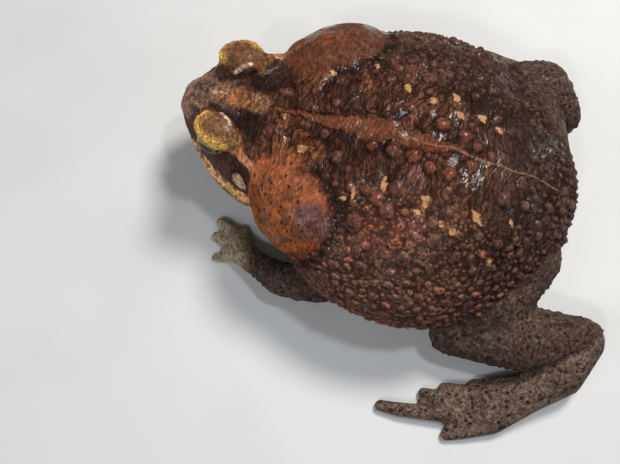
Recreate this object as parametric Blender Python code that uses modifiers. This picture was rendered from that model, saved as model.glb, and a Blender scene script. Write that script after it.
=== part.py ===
"""Cane toad, Rhinella marina: a large adult female at rest, at life size, for a still museum model.

The toad faces -Y and its left side is +X. It rests on the floor, z = 0, on its belly, hands and feet.
Places are given in millimetres from a point on the floor under the middle of the trunk, and
mm() turns them into metres. The last step moves everything so that the origin is at the
bottom centre of the whole toad.
"""

import math
import random

import bmesh
import bpy
from mathutils import Matrix, Vector
from mathutils.bvhtree import BVHTree

MM = 0.001

# Driving dimensions, in millimetres.
SNOUT_Y = -110.0
VENT_Y = 110.0
BACK_HEIGHT = 88.0
FLANK_HALF_WIDTH = 83.0
JAW_HALF_WIDTH = 45.0
GAP = 0.3
EYE_RADIUS = 7.8
TYMPANUM_RADIUS = 4.8

# Warts: radius and height above the skin, in millimetres, from the spine outwards.
SPINE_WART = (5.2, 2.6)
LARGE_WART = (5.0, 2.4)
MEDIUM_WART = (4.1, 2.0)
SMALL_WART = (3.3, 1.7)
SPINE_ROW_Y = (-36, -23, -9, 5, 19, 34, 50)
SPINE_ROW_OFFSET = 12.0
WART_TRIES = 2600
WART_LIMIT = 78
WART_SPREAD = 1.18
WART_ROOT = 0.85
WART_SEED = 7

# Skin colours, as linear RGB.
BACK_BROWN = (0.070, 0.026, 0.013)
HEAD_BROWN = (0.085, 0.035, 0.016)
GLAND_ORANGE = (0.180, 0.060, 0.020)
LIMB_BROWN = (0.050, 0.030, 0.020)
FOOT_GREY = (0.060, 0.045, 0.035)
DRUM_GREY = (0.075, 0.055, 0.040)
EYE_DARK = (0.010, 0.010, 0.008)

# Trunk sections: y, middle x, half width, top, widest height, underside.
TRUNK = [
    (-66, 1.5, 30, 69, 44, 22),
    (-50, 3.0, 44, 75, 42, 12),
    (-32, 4.5, 61, 82, 41, 5),
    (-10, 5.5, 77, 86, 42, 0),
    (18, 6.5, FLANK_HALF_WIDTH, BACK_HEIGHT, 42, -3),
    (45, 7.5, 80, 87, 41, -3),
    (70, 7.5, 67, 80, 39, -2),
    (90, 7.0, 48, 68, 37, 4),
    (103, 4.5, 31, 56, 37, 16),
    (VENT_Y, 3.0, 12, 47, 37, 28),
]

# Head sections, in the same order; the widest height is where the lips meet.
HEAD = [
    (SNOUT_Y, -3.0, 3, 53, 47, 42),
    (-107, -2.7, 9, 57, 46, 38),
    (-102, -2.0, 16, 61, 44, 34),
    (-94, -1.0, 24.5, 66, 41, 29),
    (-86, -0.6, 32.5, 69, 38.5, 24),
    (-76, 0.2, 38.5, 72, 36, 19),
    (-65, 2.0, 42, 74, 35, 15),
    (-54, 3.0, JAW_HALF_WIDTH, 76, 37, 12),
    (-44, 4.0, 46, 77, 40, 12),
]


def mm(x, y, z):
    """A place in millimetres, as a vector in metres."""
    return Vector((x * MM, y * MM, z * MM))


def clear_scene():
    for thing in list(bpy.data.objects):
        bpy.data.objects.remove(thing, do_unlink=True)


def collection(name):
    made = bpy.data.collections.new(name)
    bpy.context.scene.collection.children.link(made)
    return made


def finish(name, colour, roughness):
    """A Principled material for one kind of skin."""
    made = bpy.data.materials.new(name)
    made.use_nodes = True
    shader = made.node_tree.nodes["Principled BSDF"]
    shader.inputs["Base Color"].default_value = (*colour, 1.0)
    shader.inputs["Roughness"].default_value = roughness
    shader.inputs["Metallic"].default_value = 0.0
    return made


def add_object(name, mesh, where):
    made = bpy.data.objects.new(name, mesh)
    where.objects.link(made)
    return made


def object_from_bmesh(name, bm, where):
    mesh = bpy.data.meshes.new(name)
    bm.to_mesh(mesh)
    bm.free()
    return add_object(name, mesh, where)


def drop(thing):
    mesh = thing.data
    bpy.data.objects.remove(thing, do_unlink=True)
    bpy.data.meshes.remove(mesh)


def apply_modifiers(thing):
    """Replace the object's mesh by what its modifiers make of it."""
    shown = thing.evaluated_get(bpy.context.evaluated_depsgraph_get())
    mesh = bpy.data.meshes.new_from_object(shown)
    before = thing.data
    thing.modifiers.clear()
    thing.data = mesh
    bpy.data.meshes.remove(before)


def keep_largest_shell(thing):
    """Delete every closed surface of the mesh but the one with most faces."""
    bm = bmesh.new()
    bm.from_mesh(thing.data)
    left = set(bm.verts)
    shells = []
    while left:
        shell = {left.pop()}
        edge_of_shell = list(shell)
        while edge_of_shell:
            vert = edge_of_shell.pop()
            for edge in vert.link_edges:
                other = edge.other_vert(vert)
                if other in left:
                    left.remove(other)
                    shell.add(other)
                    edge_of_shell.append(other)
        shells.append(shell)
    shells.sort(key=len)
    scraps = [vert for shell in shells[:-1] for vert in shell]
    bmesh.ops.delete(bm, geom=scraps, context="VERTS")
    bm.to_mesh(thing.data)
    bm.free()


def interpolate(rows, at):
    """A row between the given ones, on a smooth curve; at runs from 0 to len(rows) - 1."""
    index = min(int(at), len(rows) - 2)
    t = at - index
    before = rows[max(index - 1, 0)]
    start = rows[index]
    end = rows[index + 1]
    after = rows[min(index + 2, len(rows) - 1)]
    row = []
    for a, b, c, d in zip(before, start, end, after):
        slope = c - a + t * (2 * a - 5 * b + 4 * c - d + t * (3 * (b - c) + d - a))
        row.append(b + 0.5 * t * slope)
    return row


def section_at(rows, y):
    """The section of a loft at one y."""
    low = 0.0
    high = len(rows) - 1.0
    for _ in range(40):
        middle = 0.5 * (low + high)
        if interpolate(rows, middle)[0] < y:
            low = middle
        else:
            high = middle
    return interpolate(rows, low)


def outline_point(row, angle):
    """A point of a section: angle 0 is its left side (+X), 90 degrees its top."""
    y, middle_x, half_width, top, widest, bottom = row
    height = top - widest if math.sin(angle) > 0 else widest - bottom
    return mm(middle_x + half_width * math.cos(angle), y, widest + height * math.sin(angle))


def loft(name, rows, where, ring=36, per_span=4):
    """A closed body through the given sections."""
    bm = bmesh.new()
    rings = []
    for step in range((len(rows) - 1) * per_span + 1):
        row = interpolate(rows, step / per_span)
        points = [outline_point(row, 2 * math.pi * k / ring) for k in range(ring)]
        rings.append([bm.verts.new(point) for point in points])
    for a, b in zip(rings, rings[1:]):
        for k in range(ring):
            bm.faces.new((a[k], b[k], b[(k + 1) % ring], a[(k + 1) % ring]))
    bm.faces.new(rings[0])
    bm.faces.new(list(reversed(rings[-1])))
    bmesh.ops.recalc_face_normals(bm, faces=bm.faces)
    return object_from_bmesh(name, bm, where)


def ball(name, centre, radii, turn, where, segments=20, rings=10):
    """An ellipsoid; turn is the rotation matrix of its own axes."""
    bm = bmesh.new()
    bmesh.ops.create_uvsphere(bm, u_segments=segments, v_segments=rings, radius=MM)
    place = Matrix.Translation(centre) @ turn.to_4x4() @ Matrix.Diagonal((*radii, 1.0))
    bmesh.ops.transform(bm, matrix=place, verts=bm.verts)
    return object_from_bmesh(name, bm, where)


def hull(balls, fine=2):
    """The closed skin stretched over some balls, each (x, y, z, radius) in millimetres."""
    bm = bmesh.new()
    for x, y, z, radius in balls:
        spot = Matrix.Translation(mm(x, y, z))
        bmesh.ops.create_icosphere(bm, subdivisions=fine, radius=radius * MM, matrix=spot)
    wrap = bmesh.ops.convex_hull(bm, input=bm.verts)
    inside = {item for item in wrap["geom_interior"] + wrap["geom_unused"]}
    inner_verts = [item for item in inside if isinstance(item, bmesh.types.BMVert)]
    bmesh.ops.delete(bm, geom=inner_verts, context="VERTS")
    return bm


def flesh(name, points, where, fine=2):
    """Flesh along a chain of balls: each link is the hull of its two end balls."""
    whole = bmesh.new()
    for start, end in zip(points, points[1:]):
        link = hull([start, end], fine)
        mesh = bpy.data.meshes.new("link")
        link.to_mesh(mesh)
        link.free()
        whole.from_mesh(mesh)
        bpy.data.meshes.remove(mesh)
    return object_from_bmesh(name, whole, where)


def tube(name, places, radius, where):
    """A round tube through some places, closed at both ends."""
    curve = bpy.data.curves.new(name, "CURVE")
    curve.dimensions = "3D"
    curve.bevel_depth = radius * MM
    curve.bevel_resolution = 1
    curve.use_fill_caps = True
    spline = curve.splines.new("POLY")
    spline.points.add(len(places) - 1)
    for point, place in zip(spline.points, places):
        point.co = (*place, 1.0)
    guide = add_object(name, curve, where)
    shown = guide.evaluated_get(bpy.context.evaluated_depsgraph_get())
    bm = bmesh.new()
    bm.from_mesh(bpy.data.meshes.new_from_object(shown))
    bmesh.ops.remove_doubles(bm, verts=bm.verts, dist=0.01 * MM)
    bmesh.ops.recalc_face_normals(bm, faces=bm.faces)
    bpy.data.objects.remove(guide, do_unlink=True)
    bpy.data.curves.remove(curve)
    return object_from_bmesh(name, bm, where)


def fuse(name, pieces, where, voxel, smoothing, triangles):
    """Melt overlapping closed pieces into one smooth body of about the given number of triangles."""
    bm = bmesh.new()
    for piece in pieces:
        bm.from_mesh(piece.data)
        drop(piece)
    body = object_from_bmesh(name, bm, where)
    melt = body.modifiers.new("melt", "REMESH")
    melt.mode = "VOXEL"
    melt.voxel_size = voxel * MM
    soften = body.modifiers.new("soften", "SMOOTH")
    soften.factor = 0.5
    soften.iterations = smoothing
    apply_modifiers(body)
    keep_largest_shell(body)
    faces = 2 * len(body.data.polygons)
    thin = body.modifiers.new("thin", "DECIMATE")
    thin.ratio = min(1.0, triangles / faces)
    thin.use_collapse_triangulate = True
    apply_modifiers(body)
    return body


def swollen(thing, by, where):
    """A copy of a body, grown outwards by a few tenths of a millimetre, to cut room for it."""
    copy = add_object(thing.name + "_room", thing.data.copy(), where)
    grow = copy.modifiers.new("grow", "DISPLACE")
    grow.mid_level = 0.0
    grow.strength = by * MM
    apply_modifiers(copy)
    copy.hide_render = True
    copy.display_type = "WIRE"
    return copy


def boolean(thing, other, operation, solver="EXACT"):
    """Cut or join one body with another, which is used up."""
    step = thing.modifiers.new("step", "BOOLEAN")
    step.operation = operation
    step.solver = solver
    step.object = other
    apply_modifiers(thing)
    drop(other)
    keep_largest_shell(thing)


def join_all(thing, pieces, where):
    """One Boolean union of a body with many closed pieces, which are used up."""
    joined = bpy.data.collections.new("joined")
    bpy.context.scene.collection.children.link(joined)
    for piece in pieces:
        where.objects.unlink(piece)
        joined.objects.link(piece)
    step = thing.modifiers.new("step", "BOOLEAN")
    step.operation = "UNION"
    step.solver = "EXACT"
    step.operand_type = "COLLECTION"
    step.collection = joined
    apply_modifiers(thing)
    for piece in pieces:
        drop(piece)
    bpy.data.collections.remove(joined)
    keep_largest_shell(thing)


def slab(name, point, normal, where, size=400.0):
    """A large block whose one face passes through point, on the side that normal points to."""
    bm = bmesh.new()
    turn = normal.normalized().to_track_quat("Z", "Y").to_matrix().to_4x4()
    middle = point + normal.normalized() * size * MM / 2
    bmesh.ops.create_cube(bm, size=size * MM, matrix=Matrix.Translation(middle) @ turn)
    return object_from_bmesh(name, bm, where)


def trim(thing, point, normal, where, size=400.0):
    """Cut away all of a body that lies past a plane, within half the size of the point."""
    boolean(thing, slab("trim", point, normal, where, size), "DIFFERENCE")


def part_by_plane(first, second, point, normal, where, size=400.0):
    """Two bodies meet at a plane: first keeps the side against the normal, second the other."""
    step = normal.normalized() * GAP * MM / 2
    trim(first, point - step, normal, where, size)
    trim(second, point + step, -normal, where, size)


def paint(thing, material):
    thing.data.materials.clear()
    thing.data.materials.append(material)
    for polygon in thing.data.polygons:
        polygon.use_smooth = True


# The limbs, as chains of (x, y, z, radius) from the body outwards.
LEFT_ARM = {
    "triangles": 700,
    "upper_arm": [(43, -22, 27, 11), (75, -11, 20, 10)],
    "forearm": [(75, -11, 20, 10), (76, -32, 16, 10.5), (70, -50, 11, 7.5)],
    "palm": [(70, -50, 11, 7.5), (65, -60, 7.5, 7.5)],
    "knuckles": [(57, -61, 4, 4), (56, -67, 4.5, 4.5), (62, -68, 4.5, 4.5), (68, -66, 4, 4)],
    "digits": [
        [(57, -61, 4, 3.8), (51, -64, 2.6, 3.0)],
        [(56, -67, 4.5, 4.0), (52, -73, 3.4, 3.4), (50, -79, 2.6, 3.0)],
        [(62, -68, 4.5, 3.8), (60, -74, 3.4, 3.2), (59, -79, 2.6, 2.9)],
        [(68, -66, 4, 3.6), (70, -71, 3.0, 3.0), (71, -75, 2.6, 2.7)],
    ],
}
RIGHT_ARM = {
    "triangles": 700,
    "upper_arm": [(-34, -24, 27, 11), (-66, -12, 21, 10)],
    "forearm": [(-66, -12, 21, 10), (-66, -33, 16, 10.5), (-60, -53, 11, 7.5)],
    "palm": [(-60, -53, 11, 7.5), (-56, -63, 7.5, 7.5)],
    "knuckles": [(-48, -65, 4, 4), (-48, -71, 4.5, 4.5), (-54, -72, 4.5, 4.5), (-60, -70, 4, 4)],
    "digits": [
        [(-48, -65, 4, 3.8), (-42, -67, 2.6, 3.0)],
        [(-48, -71, 4.5, 4.0), (-44, -77, 3.4, 3.4), (-42, -83, 2.6, 3.0)],
        [(-54, -72, 4.5, 3.8), (-52, -78, 3.4, 3.2), (-51, -84, 2.6, 2.9)],
        [(-60, -70, 4, 3.6), (-62, -75, 3.0, 3.0), (-63, -79, 2.6, 2.7)],
    ],
}
LEFT_LEG = {
    "triangles": 900,
    "thigh": [(33, 91, 34, 20), (58, 79, 29, 20.5), (80, 64, 18, 12.5)],
    "shank": [(80, 64, 18, 12.5), (73, 98, 21, 18.5), (64, 133, 15, 13.5)],
    "tarsus": [(64, 133, 13, 13), (84, 127, 11, 12), (99, 112, 9, 10)],
    "knuckles": [(98, 96, 5, 5), (104, 93, 6, 6), (110, 93, 6, 6), (116, 95, 6, 6), (119, 99, 5, 5)],
    "digits": [
        [(98, 96, 5, 4.4), (101, 84, 2.8, 3.2)],
        [(104, 93, 6, 4.8), (106, 80, 3.8, 3.8), (107, 69, 2.8, 3.1)],
        [(110, 93, 6, 5.0), (112, 76, 4.0, 4.2), (113, 59, 2.8, 3.3)],
        [(116, 95, 6, 5.2), (121, 72, 4.4, 4.7), (125, 50, 3.8, 4.0), (126, 38, 2.8, 3.3)],
        [(119, 99, 5, 4.8), (126, 86, 3.8, 4.2), (131, 76, 2.8, 3.4)],
    ],
}
RIGHT_LEG = {
    "triangles": 900,
    "thigh": [(-14, 88, 36, 20), (-42, 79, 32, 20), (-71, 65, 25, 13)],
    "shank": [(-71, 65, 25, 13.5), (-72.5, 81, 26, 16.5), (-64, 98, 18, 12)],
    "tarsus": [(-63, 97, 12, 11), (-78, 88, 9.5, 9.5), (-86, 76, 8, 8.5)],
    "knuckles": [(-76, 62, 5, 5), (-80, 57, 6, 6), (-85, 56, 6, 6), (-90, 58, 6, 6), (-94, 62, 5, 5)],
    "digits": [
        [(-76, 62, 5, 4.2), (-71, 52, 2.8, 3.0)],
        [(-80, 57, 6, 4.6), (-76, 46, 3.6, 3.4), (-73, 36, 2.6, 2.8)],
        [(-85, 56, 6, 4.8), (-83, 40, 3.6, 3.6), (-80, 25, 2.6, 2.9)],
        [(-90, 58, 6, 5.0), (-91, 38, 4.2, 4.0), (-90, 18, 3.4, 3.4), (-88, 6, 2.6, 2.9)],
        [(-94, 62, 5, 4.6), (-98, 52, 3.4, 3.6), (-100, 43, 2.6, 3.0)],
    ],
}

# Head details, in millimetres from the head's own middle line unless said otherwise.
EYE_CENTRE = (23.0, -81.5, 66.0)
LID_CENTRE = (22.3, -80.5, 70.5)
LID_RADII = (8.8, 12.8, 8.4)
LID_YAW = 18.0
TYMPANUM_PLACE = (35.0, -64.8, 53.0)
CREST = [(6, -102, 57, 2.2), (12, -94, 65.5, 2.6), (14, -86, 70.5, 2.8), (17, -73, 73, 2.8),
         (27, -66, 70.5, 3.0), (33, -60, 67, 3.2), (36, -54, 64, 3.2)]
LOWER_LID = [(20, -91, 61.5, 1.8), (28.5, -87.5, 60, 2.2), (31, -80, 59.5, 2.2), (27.5, -72.5, 62, 1.8)]
NOSTRIL_RIM = [(4.5, -104, 55.5, 2.4), (5.5, -102, 56, 2.4)]
NOSTRIL_PLACE = (7.0, -104.0, 55.5)
NOSTRIL_RADII = (0.9, 1.5, 1.4)
LIP_INSET = 0.8
LIP_LIFT = 2.6
LIP_RADIUS = 2.8
MOUTH_CENTRE_Y = -66.0
MOUTH_SWEEP = 84.0
MOUTH_POINTS = 11
MOUTH_FRONT_Z = 43.5
MOUTH_BACK_Z = 33.0
MOUTH_RADIUS = 1.2
WEB_THICKNESS = 3.2
WEB_SHARE = 0.42
PAROTOIDS = {
    "left": {"centre": (48.0, -29.5, 60.5), "side": 1.0},
    "right": {"centre": (-41.5, -32.5, 62.0), "side": -1.0},
}
PAROTOID_RADII = (24.5, 30.5, 16.0)
PAROTOID_YAW = 27.0
PAROTOID_ROLL = 42.0


def side_turn(side, yaw, roll):
    """Own axes of a piece on one side of the body: yaw about Z, then rolled outwards."""
    spin = Matrix.Rotation(math.radians(-side * yaw), 3, "Z")
    lean = Matrix.Rotation(math.radians(side * roll), 3, "Y")
    return spin @ lean


def head_middle(y):
    return section_at(HEAD, y)[1]


def on_head(side, place):
    """A head place given for the left side, on either side of the head's middle line."""
    x, y, z = place
    return mm(head_middle(y) + side * x, y, z)


def lip_chain(side):
    """The roll of the upper lip, just above the head's widest line."""
    chain = []
    for y in (-109.2, -107, -102, -94, -85, -75, -65, -57):
        row = section_at(HEAD, y)
        x = row[1] + side * max(row[2] - LIP_INSET, 0.0)
        chain.append((x, y, row[4] + LIP_LIFT, LIP_RADIUS))
    return chain


def mouth_places(head):
    """The line of the mouth, from one corner round the snout to the other, on the finished skin."""
    skin = BVHTree.FromObject(head, bpy.context.evaluated_depsgraph_get())
    places = []
    for step in range(-MOUTH_POINTS, MOUTH_POINTS + 1):
        share = abs(step) / MOUTH_POINTS
        turn = math.radians(MOUTH_SWEEP * step / MOUTH_POINTS)
        inward = Vector((-math.sin(turn), math.cos(turn), 0.0))
        height = MOUTH_FRONT_Z + (MOUTH_BACK_Z - MOUTH_FRONT_Z) * share ** 0.7
        start = mm(head_middle(-80), MOUTH_CENTRE_Y, height) - inward * 0.1
        places.append(skin.ray_cast(start, inward)[0])
    return places


def build_head_and_trunk(parts, scrap):
    """One smooth body, then parted at the neck."""
    pieces = [loft("trunk", TRUNK, scrap), loft("skull", HEAD, scrap)]
    for side in (1.0, -1.0):
        pieces.append(flesh("lip", lip_chain(side), scrap))
        pieces.append(ball("lid", on_head(side, LID_CENTRE), LID_RADII, side_turn(side, LID_YAW, 8.0), scrap))
        for ridge in (CREST, LOWER_LID, NOSTRIL_RIM):
            chain = [(*on_head(side, point[:3]) / MM, point[3]) for point in ridge]
            pieces.append(flesh("ridge", chain, scrap))
    whole = fuse("torso", pieces, parts, 1.4, 3, 3800)
    head = add_object("head", whole.data.copy(), parts)
    part_by_plane(head, whole, mm(3, -52, 40), Vector((0.06, 1.0, 0.12)), scrap)
    return head, whole


def carve_face(head, scrap):
    """The line of the mouth and the two nostrils."""
    boolean(head, tube("mouth", mouth_places(head), MOUTH_RADIUS, scrap), "DIFFERENCE")
    for side in (1.0, -1.0):
        pit_turn = side_turn(side, 20.0, 60.0)
        pit = ball("nostril", on_head(side, NOSTRIL_PLACE), NOSTRIL_RADII, pit_turn, scrap, 8, 6)
        boolean(head, pit, "DIFFERENCE")


def build_limb(side_name, limb, first, second, last, parts, scrap):
    """The three nodes of one limb: two long segments and the hand or foot."""
    upper_chain = limb[first]
    lower_chain = limb[second]
    upper = fuse(first + side_name, [flesh(first, upper_chain, scrap)], parts, 1.6, 4, 280)
    lower = fuse(second + side_name, [flesh(second, lower_chain, scrap)], parts, 1.6, 4, 280)
    root = limb["palm"] if "palm" in limb else limb["tarsus"]
    pieces = [flesh("root", root, scrap)]
    for knuckle in limb["knuckles"]:
        pieces.append(flesh("ray", [root[-1], knuckle], scrap))
    for a, b in zip(limb["knuckles"], limb["knuckles"][1:]):
        pieces.append(flesh("web", [a, b], scrap))
    for digit in limb["digits"]:
        pieces.append(flesh("digit", digit, scrap))
    for a, b in zip(limb["digits"], limb["digits"][1:]):
        corners = [(*Vector(point[:3]).lerp(Vector(digit[-1][:3]), along), WEB_THICKNESS / 2)
                   for digit, point in ((a, a[0]), (b, b[0])) for along in (0.0, WEB_SHARE)]
        pieces.append(object_from_bmesh("web", hull(corners, 1), scrap))
    end = fuse(last + side_name, pieces, parts, 1.0, 2, limb["triangles"])
    joints = ((upper, lower, upper_chain, lower_chain, 400.0), (lower, end, lower_chain, root, 72.0))
    for a, b, chain_a, chain_b, reach in joints:
        corner = mm(*chain_a[-1][:3])
        back = (mm(*chain_a[-2][:3]) - corner).normalized()
        on = (mm(*chain_b[1][:3]) - mm(*chain_b[0][:3])).normalized()
        part_by_plane(a, b, corner, on - back, scrap, reach)
    boolean(end, swollen(lower, GAP, scrap), "DIFFERENCE")
    return upper, lower, end


def wart_sites(random_draw):
    """Where the warts of the back and flanks grow: (y, angle round the trunk, size), well apart."""
    sites = []
    for side in (1.0, -1.0):
        for y in SPINE_ROW_Y:
            row = section_at(TRUNK, y)
            angle = math.acos(side * (SPINE_ROW_OFFSET + random_draw.uniform(-1.5, 1.5)) / row[2])
            sites.append((y + random_draw.uniform(-2, 2), angle, SPINE_WART))
    for _ in range(WART_TRIES):
        y = random_draw.uniform(-46, 100)
        angle = math.radians(random_draw.uniform(-8, 188))
        low_on_flank = 1.0 - abs(math.sin(angle))
        sizes = (LARGE_WART, MEDIUM_WART, MEDIUM_WART) if low_on_flank < 0.35 else (MEDIUM_WART, SMALL_WART)
        size = random_draw.choice(sizes)
        here = outline_point(section_at(TRUNK, y), angle)
        apart = True
        for other_y, other_angle, other_size in sites:
            room = (size[0] + other_size[0]) * WART_SPREAD * MM
            if (outline_point(section_at(TRUNK, other_y), other_angle) - here).length < room:
                apart = False
        if apart and len(sites) < WART_LIMIT:
            sites.append((y, angle, size))
    return sites


def warts(trunk, scrap):
    """Rounded bumps with their roots sunk into the skin of the trunk."""
    skin = BVHTree.FromObject(trunk, bpy.context.evaluated_depsgraph_get())
    bumps = []
    for y, angle, (radius, height) in wart_sites(random.Random(WART_SEED)):
        spot = skin.find_nearest(outline_point(section_at(TRUNK, y), angle))
        turn = spot[1].to_track_quat("Z", "Y").to_matrix()
        depth = radius * WART_ROOT
        centre = spot[0] - spot[1] * (depth - height) * MM
        bumps.append(ball("wart", centre, (radius, radius, depth), turn, scrap, 7, 5))
    return bumps


def centre_on_floor(things):
    """Move the whole toad so that the origin is at the bottom centre of its box."""
    places = [vert.co for thing in things for vert in thing.data.vertices]
    low = [min(place[axis] for place in places) for axis in range(3)]
    high = [max(place[axis] for place in places) for axis in range(3)]
    shift = Vector((-(low[0] + high[0]) / 2, -(low[1] + high[1]) / 2, -low[2]))
    for thing in things:
        thing.data.transform(Matrix.Translation(shift))


def main():
    clear_scene()
    parts = collection("cane_toad")
    scrap = collection("cutters")
    back_skin = finish("back skin", BACK_BROWN, 0.35)
    head_skin = finish("head skin", HEAD_BROWN, 0.38)
    gland_skin = finish("gland skin", GLAND_ORANGE, 0.32)
    limb_skin = finish("limb skin", LIMB_BROWN, 0.45)
    foot_skin = finish("foot skin", FOOT_GREY, 0.50)
    drum_skin = finish("ear drum skin", DRUM_GREY, 0.45)
    eye_dark = finish("eye", EYE_DARK, 0.08)

    head, torso = build_head_and_trunk(parts, scrap)
    join_all(torso, warts(torso, scrap), scrap)
    limbs = {}
    for side_name, arm, leg in (("_left", LEFT_ARM, LEFT_LEG), ("_right", RIGHT_ARM, RIGHT_LEG)):
        limbs["arm" + side_name] = build_limb(side_name, arm, "upper_arm", "forearm", "hand", parts, scrap)
        limbs["leg" + side_name] = build_limb(side_name, leg, "thigh", "shank", "foot", parts, scrap)
    for limb in limbs.values():
        for piece in limb:
            boolean(torso, swollen(piece, GAP, scrap), "DIFFERENCE")

    for name, gland in PAROTOIDS.items():
        side = gland["side"]
        turn = side_turn(side, PAROTOID_YAW, PAROTOID_ROLL)
        parotoid = ball("parotoid_" + name, mm(*gland["centre"]), PAROTOID_RADII, turn, parts)
        paint(parotoid, gland_skin)
        boolean(torso, swollen(parotoid, GAP, scrap), "DIFFERENCE")
        boolean(head, swollen(parotoid, GAP, scrap), "DIFFERENCE")
        eye_round = (EYE_RADIUS, EYE_RADIUS, EYE_RADIUS)
        flat = Matrix.Identity(3)
        eye = ball("eye_" + name, on_head(side, EYE_CENTRE), eye_round, flat, parts, 16, 10)
        paint(eye, eye_dark)
        boolean(head, swollen(eye, GAP, scrap), "DIFFERENCE")
        drum_turn = side_turn(side, 8.0, 62.0)
        drum_radii = (TYMPANUM_RADIUS, TYMPANUM_RADIUS, 2.2)
        drum = ball("tympanum_" + name, on_head(side, TYMPANUM_PLACE), drum_radii, drum_turn, parts, 14, 6)
        paint(drum, drum_skin)
        boolean(head, swollen(drum, GAP, scrap), "DIFFERENCE")

    carve_face(head, scrap)
    floor = mm(0, 0, 0)
    down = Vector((0.0, 0.0, -1.0))
    trim(torso, floor, down, scrap)
    paint(head, head_skin)
    paint(torso, back_skin)
    for limb in limbs.values():
        for piece, skin in zip(limb, (limb_skin, limb_skin, foot_skin)):
            trim(piece, floor, down, scrap)
            paint(piece, skin)
    bpy.data.collections.remove(scrap)
    centre_on_floor(list(parts.objects))


main()
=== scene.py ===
"""Looks of the cane toad model: one wet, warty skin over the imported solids, and its two eyes.

Lengths are in millimetres on the toad's own map, with the snout to -Y and the toad's left to +X,
until they are turned into metres for Blender.
"""
import math
import random

import bpy
import numpy as np
from mathutils import Matrix, Vector, noise
from mathutils.bvhtree import BVHTree
from mathutils.kdtree import KDTree


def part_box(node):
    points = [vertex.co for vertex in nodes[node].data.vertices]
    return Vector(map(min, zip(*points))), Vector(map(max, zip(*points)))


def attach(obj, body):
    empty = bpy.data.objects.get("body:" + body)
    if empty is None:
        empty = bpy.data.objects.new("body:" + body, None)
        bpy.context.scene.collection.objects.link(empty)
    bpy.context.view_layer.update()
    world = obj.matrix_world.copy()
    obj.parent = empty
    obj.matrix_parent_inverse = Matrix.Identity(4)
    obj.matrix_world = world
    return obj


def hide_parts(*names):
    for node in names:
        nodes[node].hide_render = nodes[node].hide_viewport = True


MM = 0.001

# Places on the map.
LEFT_EYE = Vector((22.75, -81.5, 66.0))
HEAD_MIDDLE = [
    (-110, -3.0), (-102, -2.0), (-94, -1.0), (-86, -0.6), (-76, 0.2), (-65, 2.0), (-54, 3.0), (-44, 4.0),
]
SPINE = [
    (-52, 3.2), (-40, 4.5), (-29, 6.1), (-21, 6.9), (-13, 6.0), (-1, 6.0), (11, 5.2), (22, 7.4),
    (31, 7.3), (38, 5.7), (46, 7.4), (54, 7.8), (62, 6.9), (70, 6.8), (83, 3.9), (92, 4.1),
]
STRIPE_HALF_WIDTH = [
    (-60, 0.5), (-48, 0.9), (-38, 1.5), (-28, 2.2), (-20, 3.4), (-10, 5.0), (0, 6.2), (12, 6.0),
    (20, 5.0), (28, 3.4), (36, 2.0), (46, 0.6), (56, -1.5), (98, -2.0),
]
SPINE_LINE_START = 8.0
EYE_RADIUS = 7.75
EYE_FORWARD_OF_SOLID = Vector((1.6, -0.8, 0.0))
SHOWN_EYE = LEFT_EYE + EYE_FORWARD_OF_SOLID
EAR_DRUM_Y = -64.8
EAR_DRUM_Z = 53.0
EAR_DRUM_RADIUS = 4.7
NOSTRIL = (7.0, -104.0, 55.5)
MOUTH_CENTRE_Y = -66.0
MOUTH_SWEEP = 84.0
MOUTH_FRONT_Z = 43.5
MOUTH_BACK_Z = 33.0

# The camera, measured from the same map.
CAMERA_PLACE = Vector((160.4, 22.2, 422.5))
CAMERA_RIGHT = Vector((-0.2812, 0.9592, -0.0316))
CAMERA_UP = Vector((-0.9207, -0.2604, 0.2907))
CAMERA_BACK = Vector((0.2706, 0.1108, 0.9563))
PICTURE_WIDTH = 620.0
FOCAL_LENGTH = 750.0
SENSOR = 36.0

# The skin: it is swelled before it is remade in voxels, and sunk again after.
VOXEL = 1.78
SWELL = 0.4
UNDERSIDE_KEPT = 0.2
SINK = 0.35
LID_MIDDLE = (22.3, -80.5)
LID_REACH = (8.8, 12.8)
LID_YAW = 18.0

# The eyes: where they look, and the clear bulge in front.
GAZE = (0.93, -0.28, 0.14)
EYE_UP = Vector((0.0, 0.12, 1.0))
CORNEA_EDGE = 0.62
CORNEA_BULGE = 0.045
PUPIL_HALF_WIDTH = 0.60
PUPIL_HALF_HEIGHT = 0.40

# Heights and depths of the relief.
MOUTH_DEPTH = 1.5
LIP_HEIGHT = 0.55
DRUM_RIM_HEIGHT = 0.75
DRUM_DEPTH = 0.55
DRUM_MIDDLE_HEIGHT = 0.35
LID_RIM_HEIGHT = 0.8
LID_HOLLOW_DEPTH = 0.7
LID_PEBBLE_HEIGHT = 0.45
STREAK_HEIGHT = 0.6
NOSTRIL_RIM_HEIGHT = 0.7
NOSTRIL_DEPTH = 1.3
NOSE_RIDGE_HEIGHT = 0.7
SNOUT_PEBBLE_HEIGHT = 0.22
SKULL_CREASE_HEIGHT = 0.35
WRINKLE_HEIGHT = 0.55
FOLD_HEIGHT = 0.95
BELLY_GRAIN_HEIGHT = 0.25
LIMB_GRAIN_HEIGHT = 0.22
GLAND_SWELL = 0.5
GLAND_WRINKLE_HEIGHT = 0.30
TRUNK_SWELL = 0.35
RING_DEPTH = 0.35
DIMPLE_DEPTH = 0.30
DIMPLE_REACH = 0.30

# Creases: size of their cells, factors on x, y and z that draw the cells out where they are small,
# and seed.
WRINKLES_ACROSS = (3.6, (0.30, 1.0, 0.45), 3)
WRINKLES_ALONG = (3.6, (0.38, 0.38, 1.15), 5)
FOLDS_ACROSS = (9.0, (0.30, 1.0, 0.4), 13)
FOLDS_ALONG = (8.0, (0.35, 0.35, 1.2), 15)
HEAD_CREASES = (3.2, (0.45, 1.0, 0.6), 17)

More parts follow.
